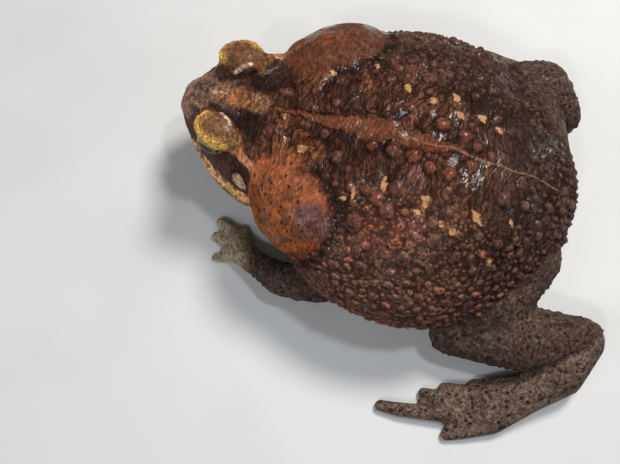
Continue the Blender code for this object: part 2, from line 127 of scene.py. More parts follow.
# The finest wrinkles of the finish: the same factors, then lumps to a metre of the noise that bends
# them, with how far it does.
WRINKLE_FACTORS_ACROSS = (0.20, 0.95, 0.32)
WRINKLE_FACTORS_ALONG = (0.26, 0.26, 1.10)
WRINKLE_BENDS = [(38.0, 0.020), (160.0, 0.006)]
GLAND_PORE_FACTORS = (0.45, 1.0, 0.8)

# Stage, in metres.
FLOOR_SIZE = 8.0
ROOM_COLOUR = (0.90, 0.94, 1.0, 1.0)
ROOM_STRENGTH = 0.13
# Lamps: name, place, height they face, size, power, colour.
LAMPS = [
    ("key", (-0.55, 0.25, 1.0), 0.04, 0.30, 12.0, (1.0, 0.97, 0.93)),
    ("fill", (0.9, -0.7, 0.9), 0.04, 0.8, 4.5, (0.93, 0.96, 1.0)),
    ("glint", (-0.12, 0.26, 0.96), 0.05, 0.10, 2.4, (0.88, 0.93, 1.0)),
    ("side_glint", (0.60, -0.10, 0.82), 0.05, 0.10, 1.6, (0.88, 0.93, 1.0)),
]

# The warts of the back that the eye finds first: x, y, radius, red share.
MAIN_WARTS = [
    (-1.7, -4.6, 2.6, 0.9), (-1.9, 3.4, 2.0, 0.6), (-9.4, 12.5, 3.0, 0.9), (-1.5, 15.0, 4.4, 1.0),
    (13.0, -8.2, 2.6, 0.8), (14.9, -0.2, 3.6, 1.0), (14.7, 9.6, 4.5, 0.9), (14.9, 21.0, 4.6, 1.0),
    (24.4, -15.6, 3.5, 0.6), (19.6, 29.6, 3.6, 0.8), (37.0, 2.9, 3.4, 1.0), (37.2, -5.0, 2.6, 0.7),
    (33.5, 17.6, 4.3, 0.3), (40.4, 9.0, 3.0, 0.8), (51.4, -9.5, 2.6, 1.0), (53.2, 0.5, 4.6, 0.4),
    (44.8, 14.9, 3.9, 0.3), (-4.0, 30.3, 4.4, 0.9), (-2.2, 42.2, 3.5, 0.9), (8.5, 35.2, 3.0, 1.0),
    (1.9, 48.6, 2.8, 0.8), (11.9, 48.4, 3.0, 0.8), (3.9, 56.7, 2.8, 0.6), (20.3, 39.5, 3.6, 0.8),
    (21.6, 67.9, 4.0, 0.2), (20.8, 79.9, 2.6, 0.2),
]
# Small pale marks on the back: x, y, half length, half width, turn in degrees from +Y.
PALE_MARKS = [
    (31.9, 10.3, 3.4, 1.6, 80), (39.7, -2.8, 2.6, 1.1, 80), (42.9, -6.9, 1.6, 1.3, 0),
    (36.3, 31.5, 4.2, 1.9, 80), (41.2, 29.0, 2.2, 1.3, 30), (-16.1, 23.1, 2.4, 2.2, 0),
    (-21.3, 33.6, 4.2, 1.7, 55), (-12.2, 37.5, 3.0, 1.7, 20), (-14.4, 48.3, 2.6, 1.9, 10),
    (-11.3, 57.8, 2.2, 1.4, 40), (35.5, 57.1, 4.0, 2.2, 50), (43.8, 41.9, 2.4, 1.5, 60),
    (45.3, 47.8, 2.2, 1.5, 20), (31.4, 75.0, 2.2, 1.2, 40), (-9.6, 76.9, 1.8, 1.0, 10),
    (52.8, 69.5, 2.2, 1.4, 60), (-21.9, -30.3, 2.0, 1.1, 30), (-31.1, -9.1, 2.4, 1.4, 60),
    (-20.2, 9.0, 2.6, 1.6, 70), (23.2, -33.5, 2.4, 2.0, 0),
]

# The wettest spots: x, y, radius.
WET_SPOTS = [
    (28.0, 23.5, 6.0), (34.0, -1.0, 5.0), (-8.0, -11.0, 7.0), (18.5, 50.5, 7.0), (1.0, 30.0, 4.0),
    (12.0, 40.0, 4.0), (46.0, 30.0, 6.0), (-20.0, -30.0, 5.0),
]
WET_GLAND_HOLLOW = (57.0, -19.0, 9.0, 12.0)

# Colours of the living skin, as linear red, green and blue.
DARK_BROWN = (0.014, 0.0048, 0.0028)
DEEP_BROWN = (0.050, 0.020, 0.012)
BACK_BROWN = (0.195, 0.074, 0.042)
NECK_ORANGE = (0.330, 0.115, 0.045)
FLANK_BROWN = (0.235, 0.104, 0.068)
FLANK_PALE = (0.310, 0.100, 0.056)
REAR_BROWN = (0.074, 0.046, 0.038)
RIGHT_BROWN = (0.052, 0.028, 0.020)
EDGE_BROWN = (0.175, 0.085, 0.050)
STRIPE_TAN = (0.200, 0.060, 0.026)
WART_RED = (0.160, 0.038, 0.021)
WART_BROWN = (0.120, 0.052, 0.034)
WART_ORANGE = (0.310, 0.112, 0.056)
WART_PURPLE = (0.098, 0.042, 0.032)
PALE_MARK = (0.520, 0.290, 0.130)
GLAND_ORANGE = (0.405, 0.100, 0.018)
GLAND_ROSE = (0.345, 0.106, 0.048)
GLAND_BROWN = (0.110, 0.039, 0.020)
GLAND_PURPLE = (0.105, 0.036, 0.030)
GLAND_TAN = (0.190, 0.088, 0.044)
SNOUT_GREY = (0.330, 0.195, 0.125)
SNOUT_BROWN = (0.185, 0.105, 0.078)
FOREHEAD = (0.450, 0.175, 0.062)
TAN = (0.400, 0.190, 0.090)
RIDGE_TAN = (0.400, 0.220, 0.125)
LINE_PALE = (0.680, 0.420, 0.270)
LID_OCHRE = (1.000, 0.560, 0.120)
LID_BROWN = (0.180, 0.084, 0.038)
LID_YELLOW = (0.580, 0.360, 0.100)
LIP_OCHRE = (0.980, 0.520, 0.200)
CHEEK_BROWN = (0.095, 0.044, 0.030)
CHEEK_PATCH = (0.090, 0.040, 0.030)
DRUM_BROWN = (0.640, 0.400, 0.260)
CREST_PINK = (0.560, 0.250, 0.120)
STREAK_HIGHLIGHT_PINK = (0.980, 0.640, 0.460)
EYE_RIM_HIGHLIGHT = (0.360, 0.350, 0.230)
LIMB_BROWN = (0.088, 0.055, 0.042)
LIMB_PALE = (0.190, 0.130, 0.095)
LIMB_DARK = (0.022, 0.014, 0.011)
HAND_GREY = (0.165, 0.112, 0.082)
BELLY_CREAM = (0.430, 0.330, 0.220)
BELLY_GREY = (0.130, 0.098, 0.075)
STRIPE_SHADE = (0.110, 0.034, 0.016)
STRIPE_LIGHT = (0.230, 0.074, 0.034)
GRANULE_TAN = (0.350, 0.160, 0.095)
LID_GRAIN = (0.085, 0.040, 0.020)
WART_PORE = (0.045, 0.010, 0.005)
GLAND_PORE = (0.022, 0.008, 0.005)
MARK_SHADE = (0.360, 0.170, 0.060)
SPINE_LINE = (0.300, 0.150, 0.080)
IRIS_GOLD = (0.620, 0.440, 0.130)
IRIS_VEIN = (0.080, 0.050, 0.018)
IRIS_EDGE_AND_LID_SHADE = (0.016, 0.010, 0.007)
PUPIL_BLACK = (0.003, 0.003, 0.003)
FLOOR_GREY = (0.600, 0.595, 0.580)
FLOOR_WHITE = (0.640, 0.635, 0.620)

# Soft darker and lighter grounds of the back: x, y, half width, half length, colour, share.
GROUNDS = [
    (25, -36, 14, 14, NECK_ORANGE, 1.0), (-16, -40, 9, 9, NECK_ORANGE, 0.6),
    # The (48, -9) ground is painted shade in the deep folds behind the left gland.
    (8, -44, 6, 9, NECK_ORANGE, 0.5), (48, -9, 10, 11, DARK_BROWN, 0.95),
    (17, -10, 7, 17, DEEP_BROWN, 0.75), (-6, -16, 7, 15, DEEP_BROWN, 0.6),
    (28, 12, 9, 9, DEEP_BROWN, 0.5), (-18, -20, 9, 7, DEEP_BROWN, 0.6),
    (50, 16, 17, 20, FLANK_PALE, 0.95), (52, 74, 14, 15, DARK_BROWN, 0.5),
    (-20, 20, 10, 12, BACK_BROWN, 0.6), (12, 62, 12, 16, BACK_BROWN, 0.5),
    (-28, 46, 17, 26, RIGHT_BROWN, 0.95), (-30, -8, 7, 6, DARK_BROWN, 0.8),
    (34, 30, 14, 9, WART_ORANGE, 0.3),
]

# Strokes of colour on the head: colour, radius, share, then the line as (distance from the middle, y, z).
HEAD_STROKES = [
    (SNOUT_GREY, 14.0, 1.0, [(0, -110, 50), (0, -102, 56)]),
    (SNOUT_BROWN, 12.0, 0.95, [(0, -94, 62), (0, -84, 69)]),
    (FOREHEAD, 6.5, 0.95, [(-1, -76, 72), (-1, -69, 73)]),
    (FOREHEAD, 3.0, 0.45, [(4, -88, 67), (2, -80, 70)]),
    (TAN, 5.0, 0.9, [(1.0, -65, 74), (0.5, -61, 75)]),
    (DARK_BROWN, 7.5, 0.85, [(12, -66, 72), (16, -54, 73)]),
    # Painted shade in the furrow between the lid and the forehead.
    (DARK_BROWN, 2.6, 0.8, [(8, -88, 67), (11, -79, 70), (15, -68, 72)]),
    (CHEEK_PATCH, 11.0, 0.9, [(33, -80, 56), (34, -66, 56)]),
    (FOREHEAD, 5.0, 0.9, [(22.5, -68.5, 74), (29, -65.5, 72)]),
    (RIDGE_TAN, 1.5, 0.75, [(5, -103, 58), (8, -98, 63), (11, -93, 67), (15.5, -90, 70)]),
    (LINE_PALE, 0.9, 1.0, [(0, -111, 50), (0.5, -102, 59), (-0.4, -96, 63), (0.6, -89, 68), (0, -82, 70)]),
]
# Line of the raised streak by the inner edge of the lid, which also carries a painted pink highlight.
PINK_STREAK = [(12.2, -80.8, 71.5), (14.8, -77.2, 74.3), (17.8, -73.4, 75.4)]
NOSE_RIDGE = [(6, -102, 57), (9, -98, 61.5), (12, -94, 65.5), (15, -89, 69.5)]
CREST_LINE = [(29, -69, 66), (31, -62, 69), (34, -57, 68), (38, -51, 70)]

GROUPS = {
    "head": ["head", "tympanum_left", "tympanum_right"],
    "gland": ["parotoid_left", "parotoid_right"],
    "arm": ["upper_arm_left", "upper_arm_right", "forearm_left", "forearm_right"],
    "leg": ["thigh_left", "thigh_right", "shank_left", "shank_right"],
    "hand": ["hand_left", "hand_right"],
    "foot": ["foot_left", "foot_right"],
    "torso": ["torso"],
}

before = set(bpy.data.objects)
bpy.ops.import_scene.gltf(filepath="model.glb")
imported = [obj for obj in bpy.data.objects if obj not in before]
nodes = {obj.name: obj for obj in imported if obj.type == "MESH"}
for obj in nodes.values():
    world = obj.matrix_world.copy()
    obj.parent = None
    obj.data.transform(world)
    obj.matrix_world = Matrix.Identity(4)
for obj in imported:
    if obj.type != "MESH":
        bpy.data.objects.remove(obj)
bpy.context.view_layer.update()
eye_low, eye_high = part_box("eye_left")
MAP_ORIGIN = (eye_low + eye_high) / 2 - LEFT_EYE * MM


# Helpers

def on_floor_plan(place):
    """A place of the map in Blender's metres."""
    return MAP_ORIGIN + Vector(place) * MM


def pick(*things):
    """Selects just these objects, the first one active."""
    bpy.ops.object.select_all(action="DESELECT")
    for thing in things:
        thing.select_set(True)
    bpy.context.view_layer.objects.active = things[0]


def ease(value, low, high):
    """0 below low, 1 above high, and a soft step between."""
    share = np.clip((value - low) / (high - low), 0.0, 1.0)
    return share * share * (3.0 - 2.0 * share)


def fade(value, low, high):
    """1 below low, 0 above high, and a soft step between."""
    return 1.0 - ease(value, low, high)


def hill(value, middle, width):
    """1 at the middle, and down to nothing within about two widths."""
    return np.exp(-((value - middle) / width) ** 2)


def between(table, at):
    """Values of a table of pairs, read on straight lines."""
    return np.interp(at, [row[0] for row in table], [row[1] for row in table])


def cloud(points, size, seed, octaves=3):
    """Soft random values from about -1 to 1, in lumps about size millimetres across."""
    away = Vector((seed * 17.3, seed * 7.1, seed * 3.7))
    scaled = points / size
    return np.array([noise.fractal(Vector(p) + away, 1.0, 2.0, octaves) for p in scaled])


def pebbles(points, size, seed):
    """Round cells about size millimetres across: 1 at each cell's middle, 0 in the gaps between."""
    away = Vector((seed * 11.3, seed * 5.1, seed * 9.7))
    found = [noise.voronoi(Vector(p) + away)[0] for p in points / size]
    near = np.array([d[0] for d in found])
    second = np.array([d[1] for d in found])
    return ease(second - near, 0.0, 0.55)


def mixed(colour, other, share):
    """Colours moved towards another colour by a share for each point."""
    return colour + (np.array(other) - colour) * share[:, None]


def layered(colour, *layers):
    """Colours with others laid over them, each with its own share for every point."""
    for other, share in layers:
        colour = mixed(colour, other, share)
    return colour


def plain(colour, count):
    """The same colour for every point."""
    return np.tile(np.array(colour), (count, 1))


# The skin's mesh

def joined_flesh():
    """Copies of all nodes of flesh, swelled until they overlap and remade as one closed surface."""
    copies = []
    for group in GROUPS.values():
        for name in group:
            copy = bpy.data.objects.new("flesh_" + name, nodes[name].data.copy())
            bpy.context.scene.collection.objects.link(copy)
            copies.append(copy)
    pick(*copies)
    bpy.ops.object.join()
    skin = bpy.context.object
    skin.name = "toad_skin"
    skin.data.name = "toad_skin"
    bpy.ops.object.mode_set(mode="EDIT")
    bpy.ops.mesh.select_all(action="SELECT")
    bpy.ops.mesh.remove_doubles(threshold=0.00001)
    bpy.ops.transform.shrink_fatten(value=SWELL * MM)
    bpy.ops.object.mode_set(mode="OBJECT")
    skin.data.remesh_voxel_size = VOXEL * MM
    bpy.ops.object.voxel_remesh()
    bpy.ops.object.select_all(action="DESELECT")
    return skin


def largest_part(skin):
    """Keeps the outer surface and drops any pocket that was closed in."""
    pick(skin)
    bpy.ops.mesh.separate(type="LOOSE")
    parts = sorted(bpy.context.selected_objects, key=lambda part: len(part.data.vertices))
    kept = parts.pop()
    for part in parts:
        bpy.data.objects.remove(part)
    kept.name = "toad_skin"
    pick(kept)
    return kept


def read_rows(rows, field, width, kind=float):
    """One field of a mesh's vertices or edges as an array with a row for each."""
    flat = np.zeros(len(rows) * width, dtype=kind)
    rows.foreach_get(field, flat)
    return flat.reshape(-1, width)


def read_points(skin):
    """The skin's vertices on the map."""
    return (read_rows(skin.data.vertices, "co", 3) - np.array(MAP_ORIGIN)) / MM


def write_points(skin, points):
    flat = (points * MM + np.array(MAP_ORIGIN)).ravel()
    skin.data.vertices.foreach_set("co", flat)
    skin.data.update()


def read_normals(skin):
    return read_rows(skin.data.vertex_normals, "vector", 3)


def read_edges(skin):
    return read_rows(skin.data.edges, "vertices", 2, np.int32)


def relaxed(points, edges, strength, rounds):
    """Every point drawn towards the mean of its neighbours, by its own strength, some rounds over."""
    count = len(points)
    degree = np.bincount(edges.ravel(), minlength=count)[:, None]
    points = points.copy()
    for _ in range(rounds):
        total = np.zeros_like(points)
        for axis in range(3):
            total[:, axis] = (np.bincount(edges[:, 0], points[edges[:, 1], axis], count)
                              + np.bincount(edges[:, 1], points[edges[:, 0], axis], count))
        points += strength[:, None] * (total / degree - points)
    return points


def from_spine_line(points):
    """Distance of each point from the line of the spine, across the floor plan."""
    return np.abs(points[:, 0] - between(SPINE, points[:, 1]))


def past_neck(points):
    """How far behind the neck each point lies."""
    return (points[:, 0] - 3.0) * 0.06 + (points[:, 1] + 52.0) + (points[:, 2] - 40.0) * 0.12


def from_limbs(away):
    """Distance from the nearest limb."""
    return np.minimum.reduce([away[group] for group in ("arm", "leg", "hand", "foot")])


def evened(skin):
    """The joined surface with its steps and seams drawn smooth, most of all on the open back."""
    points = read_points(skin)
    edges = read_edges(skin)
    away = distance_to_groups(points)
    limbs = from_limbs(away)
    neck = past_neck(points)
    open_back = ease(np.minimum(limbs, away["gland"]), 0.5, 6.0) * ease(neck, -1.0, 6.0)
    collar = ease(limbs, 0.2, 3.0) * fade(np.abs(neck), 3.0, 8.0)
    beside_gland = fade(np.abs(away["gland"] - 1.5), 2.0, 4.0) * ease(away["gland"], 0.2, 0.9)
    beside_gland *= ease(points[:, 2], 62.0, 70.0)
    ends = fade(np.minimum(away["hand"], away["foot"]), 0.5, 4.0)
    points = relaxed(points, edges, 0.5 - 0.25 * ends, 3)
    points = relaxed(points, edges, 0.6 * np.maximum.reduce([open_back, 0.8 * collar, beside_gland]), 45)
    points = relaxed(points, edges, 0.35 * (1.0 - ends) * (1.0 - open_back) * ease(neck, -12.0, -4.0), 6)
    write_points(skin, points)


def thinned_below(skin):
    """Fewer, larger faces where the toad faces the floor."""
    points = read_points(skin)
    normals = read_normals(skin)
    hidden = fade(normals[:, 2], -0.55, -0.25) * fade(points[:, 2], 28.0, 44.0)
    hidden *= ease(points[:, 1], -96.0, -84.0)
    group = skin.vertex_groups.new(name="underside")
    for index in np.where(hidden > 0.02)[0]:
        group.add([int(index)], float(hidden[index]), "REPLACE")
    share = float((hidden > 0.5).sum()) / len(points)
    thin = skin.modifiers.new("thin", "DECIMATE")
    thin.ratio = 1.0 - share * (1.0 - UNDERSIDE_KEPT)
    thin.vertex_group = "underside"
    thin.vertex_group_factor = 400.0
    pick(skin)
    bpy.ops.object.modifier_apply(modifier="thin")
    skin.vertex_groups.clear()


def made_finer(skin):
    """Four faces for one on the face, the glands and the back."""
    points = read_points(skin)
    normals = read_normals(skin)
    away = distance_to_groups(points)
    limbs = from_limbs(away)
    face = (points[:, 1] < -60.0) & (points[:, 2] > 32.0)
    upper = (limbs > 1.0) & (normals[:, 2] > -0.15) & (points[:, 2] > 38.0)
    wanted = face | upper
    pick(skin)
    bpy.ops.object.mode_set(mode="EDIT")
    bpy.ops.mesh.select_all(action="DESELECT")
    bpy.ops.object.mode_set(mode="OBJECT")
    for polygon in skin.data.polygons:
        polygon.select = all(wanted[index] for index in polygon.vertices)
    bpy.ops.object.mode_set(mode="EDIT")
    bpy.ops.mesh.select_mode(type="FACE")
    bpy.ops.mesh.subdivide(number_cuts=1)
    bpy.ops.object.mode_set(mode="OBJECT")
    points = read_points(skin)
    fine = ease(points[:, 2], 33.0, 40.0)
    write_points(skin, relaxed(points, read_edges(skin), 0.45 * fine, 3))


def distance_to_groups(points):
    """How far each point lies from the solids of each group."""
    away = {}
    places = [on_floor_plan(p) for p in points]
    for group, names in GROUPS.items():
        vertices = []
        faces = []
        for name in names:
            start = len(vertices)
            mesh = nodes[name].data
            vertices.extend(v.co.copy() for v in mesh.vertices)
            faces.extend([start + i for i in face.vertices] for face in mesh.polygons)
        tree = BVHTree.FromPolygons(vertices, faces)
        away[group] = np.array([tree.find_nearest(place)[3] for place in places]) / MM
    return away


# Regions of the body

def regions(points, normals, away, tones):
    """Soft masks, 0 to 1, for the named parts of the body."""
    x, y, z = points.T
    end = np.minimum(away["hand"], away["foot"])
    on_limb = np.minimum(np.minimum(away["arm"], away["leg"]), end)
    inner = ease(z, 62.0, 70.0) * fade(y, -36.0, -26.0)
    region = {"head": fade(past_neck(points) + 2.0 * tones["middle"], -8.0, 6.0)}
    region["gland"] = fade(away["gland"] + 1.2 * tones["middle"] * (0.4 + inner), 0.2, 1.8 + 4.0 * inner)
    region["end"] = fade(end, 0.5, 3.0)
    region["limb"] = ease(away["torso"] - on_limb, -1.0, 1.0) * (1.0 - region["head"])
    region["trunk"] = (1.0 - region["limb"]) * (1.0 - region["head"]) * (1.0 - region["gland"])
    region["belly"] = fade(z + 16.0 * normals[:, 2], 6.0, 22.0) * (1.0 - region["limb"])
    region["flank"] = ease(from_spine_line(points), 26.0, 50.0)
    region["far_right"] = ease(-x + 4.0 * tones["middle"], 30.0, 50.0)
    region["lengthwise"] = np.clip(fade(z, 58.0, 76.0) + ease(y, 55.0, 82.0), 0.0, 1.0)
    region["face"] = region["head"] * (1.0 - region["gland"])
    return region


# Warts

CELL_SIZE = 12.0
WART_REACH = 1.7
MAIN_WART_HEIGHT = 0.50

# The kinds of scattered warts: where, smallest and largest radius, room around each, height for its
# radius, tries, and the least and most of red.
WART_KINDS = [
    ("open right side", 3.0, 4.8, 2.4, 0.26, 1600, 0.2, 0.7),
    ("shoulder and side", 2.8, 4.2, 1.8, 0.46, 2200, 0.0, 0.6),
    ("side", 1.9, 2.9, 1.25, 0.48, 9000, 0.0, 0.6),
    ("low side", 1.4, 1.9, 1.05, 0.46, 26000, 0.0, 0.6),
    ("open back", 1.6, 2.6, 3.2, 0.26, 1200, 0.0, 0.7),
    ("limbs", 1.8, 2.8, 1.7, 0.40, 4000, 0.0, 0.3),
    ("limbs", 1.2, 1.8, 1.35, 0.42, 9000, 0.0, 0.3),
    ("cheek", 0.9, 1.6, 1.7, 0.4, 2500, 0.2, 0.8),
]


class WartBed:
    """Warts picked at random over the skin, each with room around it.

    Places are taken on a slightly crumpled copy of the skin, so that the warts aren't true circles.
    """

    def __init__(self, points):
        self.points = crumpled(points)
        self.tree = KDTree(len(points))
        for index, point in enumerate(self.points):
            self.tree.insert(point, index)
        self.tree.balance()
        self.cells = {}
        self.warts = []

    def key(self, place):
        return tuple(int(c // CELL_SIZE) for c in place)

    def free(self, place, radius, room):
        near = self.key(place)
        for i in (-1, 0, 1):
            for j in (-1, 0, 1):
                for k in (-1, 0, 1):
                    cell = (near[0] + i, near[1] + j, near[2] + k)
                    for other, other_radius in self.cells.get(cell, ()):
                        if (other - place).length < (radius + other_radius) * room:
                            return False
        return True

    def add(self, index, radius, height, red):
        place = Vector(self.points[index])
        self.cells.setdefault(self.key(place), []).append((place, radius))
        self.warts.append((place, radius, height, red))

    def scatter(self, draw, mask, smallest, largest, room, steepness, tries, least_red, most_red):
        """Tries random places; a place is taken as often as its mask says."""
        for _ in range(tries):
            index = draw.randrange(len(self.points))
            keep = draw.random()
            radius = smallest + (largest - smallest) * draw.random() ** 1.6
            tall = radius * steepness * draw.uniform(0.75, 1.2)
            tone = draw.uniform(least_red, most_red)
            if keep < mask[index] and self.free(Vector(self.points[index]), radius, room):
                self.add(index, radius, tall, tone)

    def grown(self):
        """What the warts do to every point.

        That is its height, dark ring, crown, redness and size, and its place on the nearest wart.
        """
        count = len(self.points)
        height, ring, crown, red, size = (np.zeros(count) for _ in range(5))
        nearest = np.full(count, 9.0)
        place_on = np.full((count, 3), 2.0)
        for place, radius, tall, tone in self.warts:
            found = self.tree.find_range(place, radius * WART_REACH)
            index = np.array([row[1] for row in found])
            t = np.array([row[2] for row in found]) / radius
            dome = np.clip(1.0 - t * t, 0.0, 1.0) ** 1.4
            dark = hill(t, 1.12, 0.25) * min(1.0, 0.35 + radius / 4.0)
            ring[index] = np.maximum(ring[index], dark)
            higher = index[tall * dome > height[index]]
            height[index] = np.maximum(height[index], tall * dome)
            crown[higher] = dome[np.isin(index, higher)]
            red[higher] = tone
            size[higher] = radius
            closer = t < nearest[index]
            nearest[index[closer]] = t[closer]
            place_on[index[closer]] = (self.points[index[closer]] - np.array(place)) / radius
        return {"height": height, "ring": ring, "crown": crown, "red": red, "size": size,
                "place": place_on, "reach": np.minimum(nearest, 2.0)}


def crumpled(points):
    """The skin pulled about by a millimetre or so, and drawn out lengthwise on the flanks."""
    pull = np.stack([cloud(points, 5.0, seed, 2) for seed in (51, 52, 53)], axis=1)
    moved = points + (1.8 - 1.0 * ease(points[:, 2], 66.0, 80.0))[:, None] * pull
    moved[:, 2] = np.where(points[:, 2] < 66.0, 66.0 + (points[:, 2] - 66.0) * 1.25, points[:, 2])
    return moved


def plant_warts(points, region):
    """All warts: the main ones of the back in their places, then the other kinds at random."""
    bed = WartBed(points)
    x, y, z = points.T
    top = np.where((region["trunk"] > 0.5) & (z > 40.0))[0]
    for wart_x, wart_y, radius, red in MAIN_WARTS:
        nearest = top[np.argmin((x[top] - wart_x) ** 2 + (y[top] - wart_y) ** 2)]
        bed.add(nearest, 1.12 * radius, radius * MAIN_WART_HEIGHT, red)
    draw = random.Random(31)
    from_spine = from_spine_line(points)
    half = between(STRIPE_HALF_WIDTH, y)
    clear = np.maximum(ease(from_spine, half + 1.0, half + 4.0), fade(z, 50.0, 60.0))
    trunk = ease(region["trunk"], 0.6, 0.95) * (1.0 - region["belly"]) * clear
    high = ease(z, 60.0, 76.0)
    rear = ease(y, 60.0, 88.0)
    open_back = high * fade(from_spine, 24.0, 46.0)
    smooth_rear = rear * ease(z, 30.0, 60.0)
    right_rear = ease(-x, 8.0, 24.0) * ease(y, 10.0, 34.0)
    flank = trunk * (1.0 - fade(y, -42.0, -20.0) * high)
    flank *= 1.0 - 0.7 * np.maximum(ease(-x, 30.0, 52.0), right_rear)
    open_right = ease(-x, 2.0, 14.0) * (1.0 - rear) * (1.0 - 0.8 * right_rear)
    masks = {
        "open right side": trunk * high * open_right,
        "shoulder and side": flank * (1.0 - 0.8 * rear) * (1.0 - 0.85 * open_back),
        "side": flank * (1.0 - open_back) * (1.0 - 0.8 * smooth_rear),
        "low side": flank * (1.0 - high) * (1.0 - 0.7 * smooth_rear),
        "open back": trunk * high,
        "limbs": region["limb"] * (1.0 - region["end"]),
        "cheek": region["face"] * ease(y, -76.0, -64.0) * fade(z, 60.0, 68.0),
    }
    for where, *sizes in WART_KINDS:
        bed.scatter(draw, masks[where], *sizes)
    return bed.grown()


# Lines and marks

def mouth_shape(points):
    """Height above the line of the mouth, and the share of the way round it, 1 at its corner."""
    x, y, z = points.T
    turn = np.degrees(np.arctan2(np.abs(x - between(HEAD_MIDDLE, -80.0)), -(y - MOUTH_CENTRE_Y)))
    share = np.clip(turn / MOUTH_SWEEP, 0.0, 2.0)
    line = MOUTH_FRONT_Z + (MOUTH_BACK_Z - MOUTH_FRONT_Z) * np.clip(share, 0.0, 1.0) ** 0.7
    return z - line, share


def head_frame(points):
    """Distance from the head's middle line, the same on both sides, with y and z."""
    x, y, z = points.T
    return np.abs(x - between(HEAD_MIDDLE, y)), y, z


def from_place(points, place):
    """Distance from a place of the head, or from its twin on the other side."""
    side, y, z = head_frame(points)
    return np.sqrt((side - place[0]) ** 2 + (y - place[1]) ** 2 + (z - place[2]) ** 2)


def ear_drum(points):
    """Distance from the middle of the ear drum, seen from the side, and the share of that side."""
    side, y, z = head_frame(points)
    return np.sqrt((y - EAR_DRUM_Y) ** 2 + (z - EAR_DRUM_Z) ** 2), ease(side, 27.0, 31.0)


def near_line(points, line):
    """Distance from a broken line of (distance from the middle, y, z), on both sides."""
    side, y, z = head_frame(points)
    place = np.stack([side, y, z], axis=1)
    best = np.full(len(points), 1e9)
    for start, stop in zip(line, line[1:]):
        start = np.array(start, float)
        reach = np.array(stop, float) - start
        along = np.clip((place - start) @ reach / (reach @ reach), 0.0, 1.0)
        best = np.minimum(best, np.linalg.norm(place - start - along[:, None] * reach, axis=1))
    return best


def lid_frame(points):
    """Where a point lies over its lid: 0 at the middle and 1 on the rim, then outwards and back."""
    side, y, _ = head_frame(points)
    turn = math.radians(LID_YAW)
    u = (side - LID_MIDDLE[0]) * math.cos(turn) - (y - LID_MIDDLE[1]) * math.sin(turn)
    v = (side - LID_MIDDLE[0]) * math.sin(turn) + (y - LID_MIDDLE[1]) * math.cos(turn)
    return np.hypot(u / LID_REACH[0], v / LID_REACH[1]), u, v


def stripe_reach(points):
    """Below 0 within the pale stripe of the spine, and growing with the distance from its edge."""
    _, y, z = points.T
    half = between(STRIPE_HALF_WIDTH, y)
    reach = (from_spine_line(points) - half) / (0.6 * np.maximum(half, 0.0) + 1.0)
    return reach + 3.0 * fade(z, 50.0, 62.0) + 3.0 * fade(y, -62.0, -52.0)


def mark_reach(points):
    """Below 1 within the small pale marks of the back."""
    x, y, z = points.T
    best = np.full(len(points), 4.0)
    for mark_x, mark_y, long, wide, turn in PALE_MARKS:
        angle = math.radians(turn)
        u = (x - mark_x) * math.sin(angle) + (y - mark_y) * math.cos(angle)
        v = (x - mark_x) * math.cos(angle) - (y - mark_y) * math.sin(angle)
        best = np.minimum(best, np.hypot(u / long, v / wide))
    return best + 4.0 * fade(z, 45.0, 55.0)


def soaked_gland(points, tones):
    """Share of the wet, dark hollow at the rear of the left gland."""
    x, y, _ = points.T
    hollow_x, hollow_y, wide, long = WET_GLAND_HOLLOW
    reach = np.hypot((x - hollow_x) / wide, (y - hollow_y) / long) + 0.35 * tones["middle"]
    return fade(reach, 0.6, 1.15)


def soaked(points, tones):
    """Share of the wettest spots of the back."""
    x, y, z = points.T
    share = soaked_gland(points, tones)
    for spot_x, spot_y, radius in WET_SPOTS:
        reach = np.hypot(x - spot_x, y - spot_y) / radius
        reach = reach + 0.45 * tones["middle"] + 0.3 * tones["small"]
        share = np.maximum(share, fade(reach, 0.6, 1.15))
    return share * ease(z, 50.0, 60.0)


# Relief

def creases(points, size, factors, seed):
    """Long cells of skin: 0 in the lines between them, up to 1 at their middles."""
    bend = np.stack([cloud(points, 9.0, seed, 2), cloud(points, 9.0, seed + 1, 2)], axis=1)
    bent = points.copy()
    bent[:, :2] += 2.6 * bend
    bent[:, 2] += 2.0 * bend[:, 0]
    found = [noise.voronoi(Vector(p))[0] for p in bent * np.array(factors) / size]
    gap = np.array([d[1] - d[0] for d in found])
    return ease(gap, 0.0, 0.55)


def turned_creases(points, lengthwise, across, along):
    """Creases that lie across the body, and turn to lie along it where lengthwise is 1."""
    first = creases(points, *across)
    second = creases(points, *along)
    return first + (second - first) * lengthwise


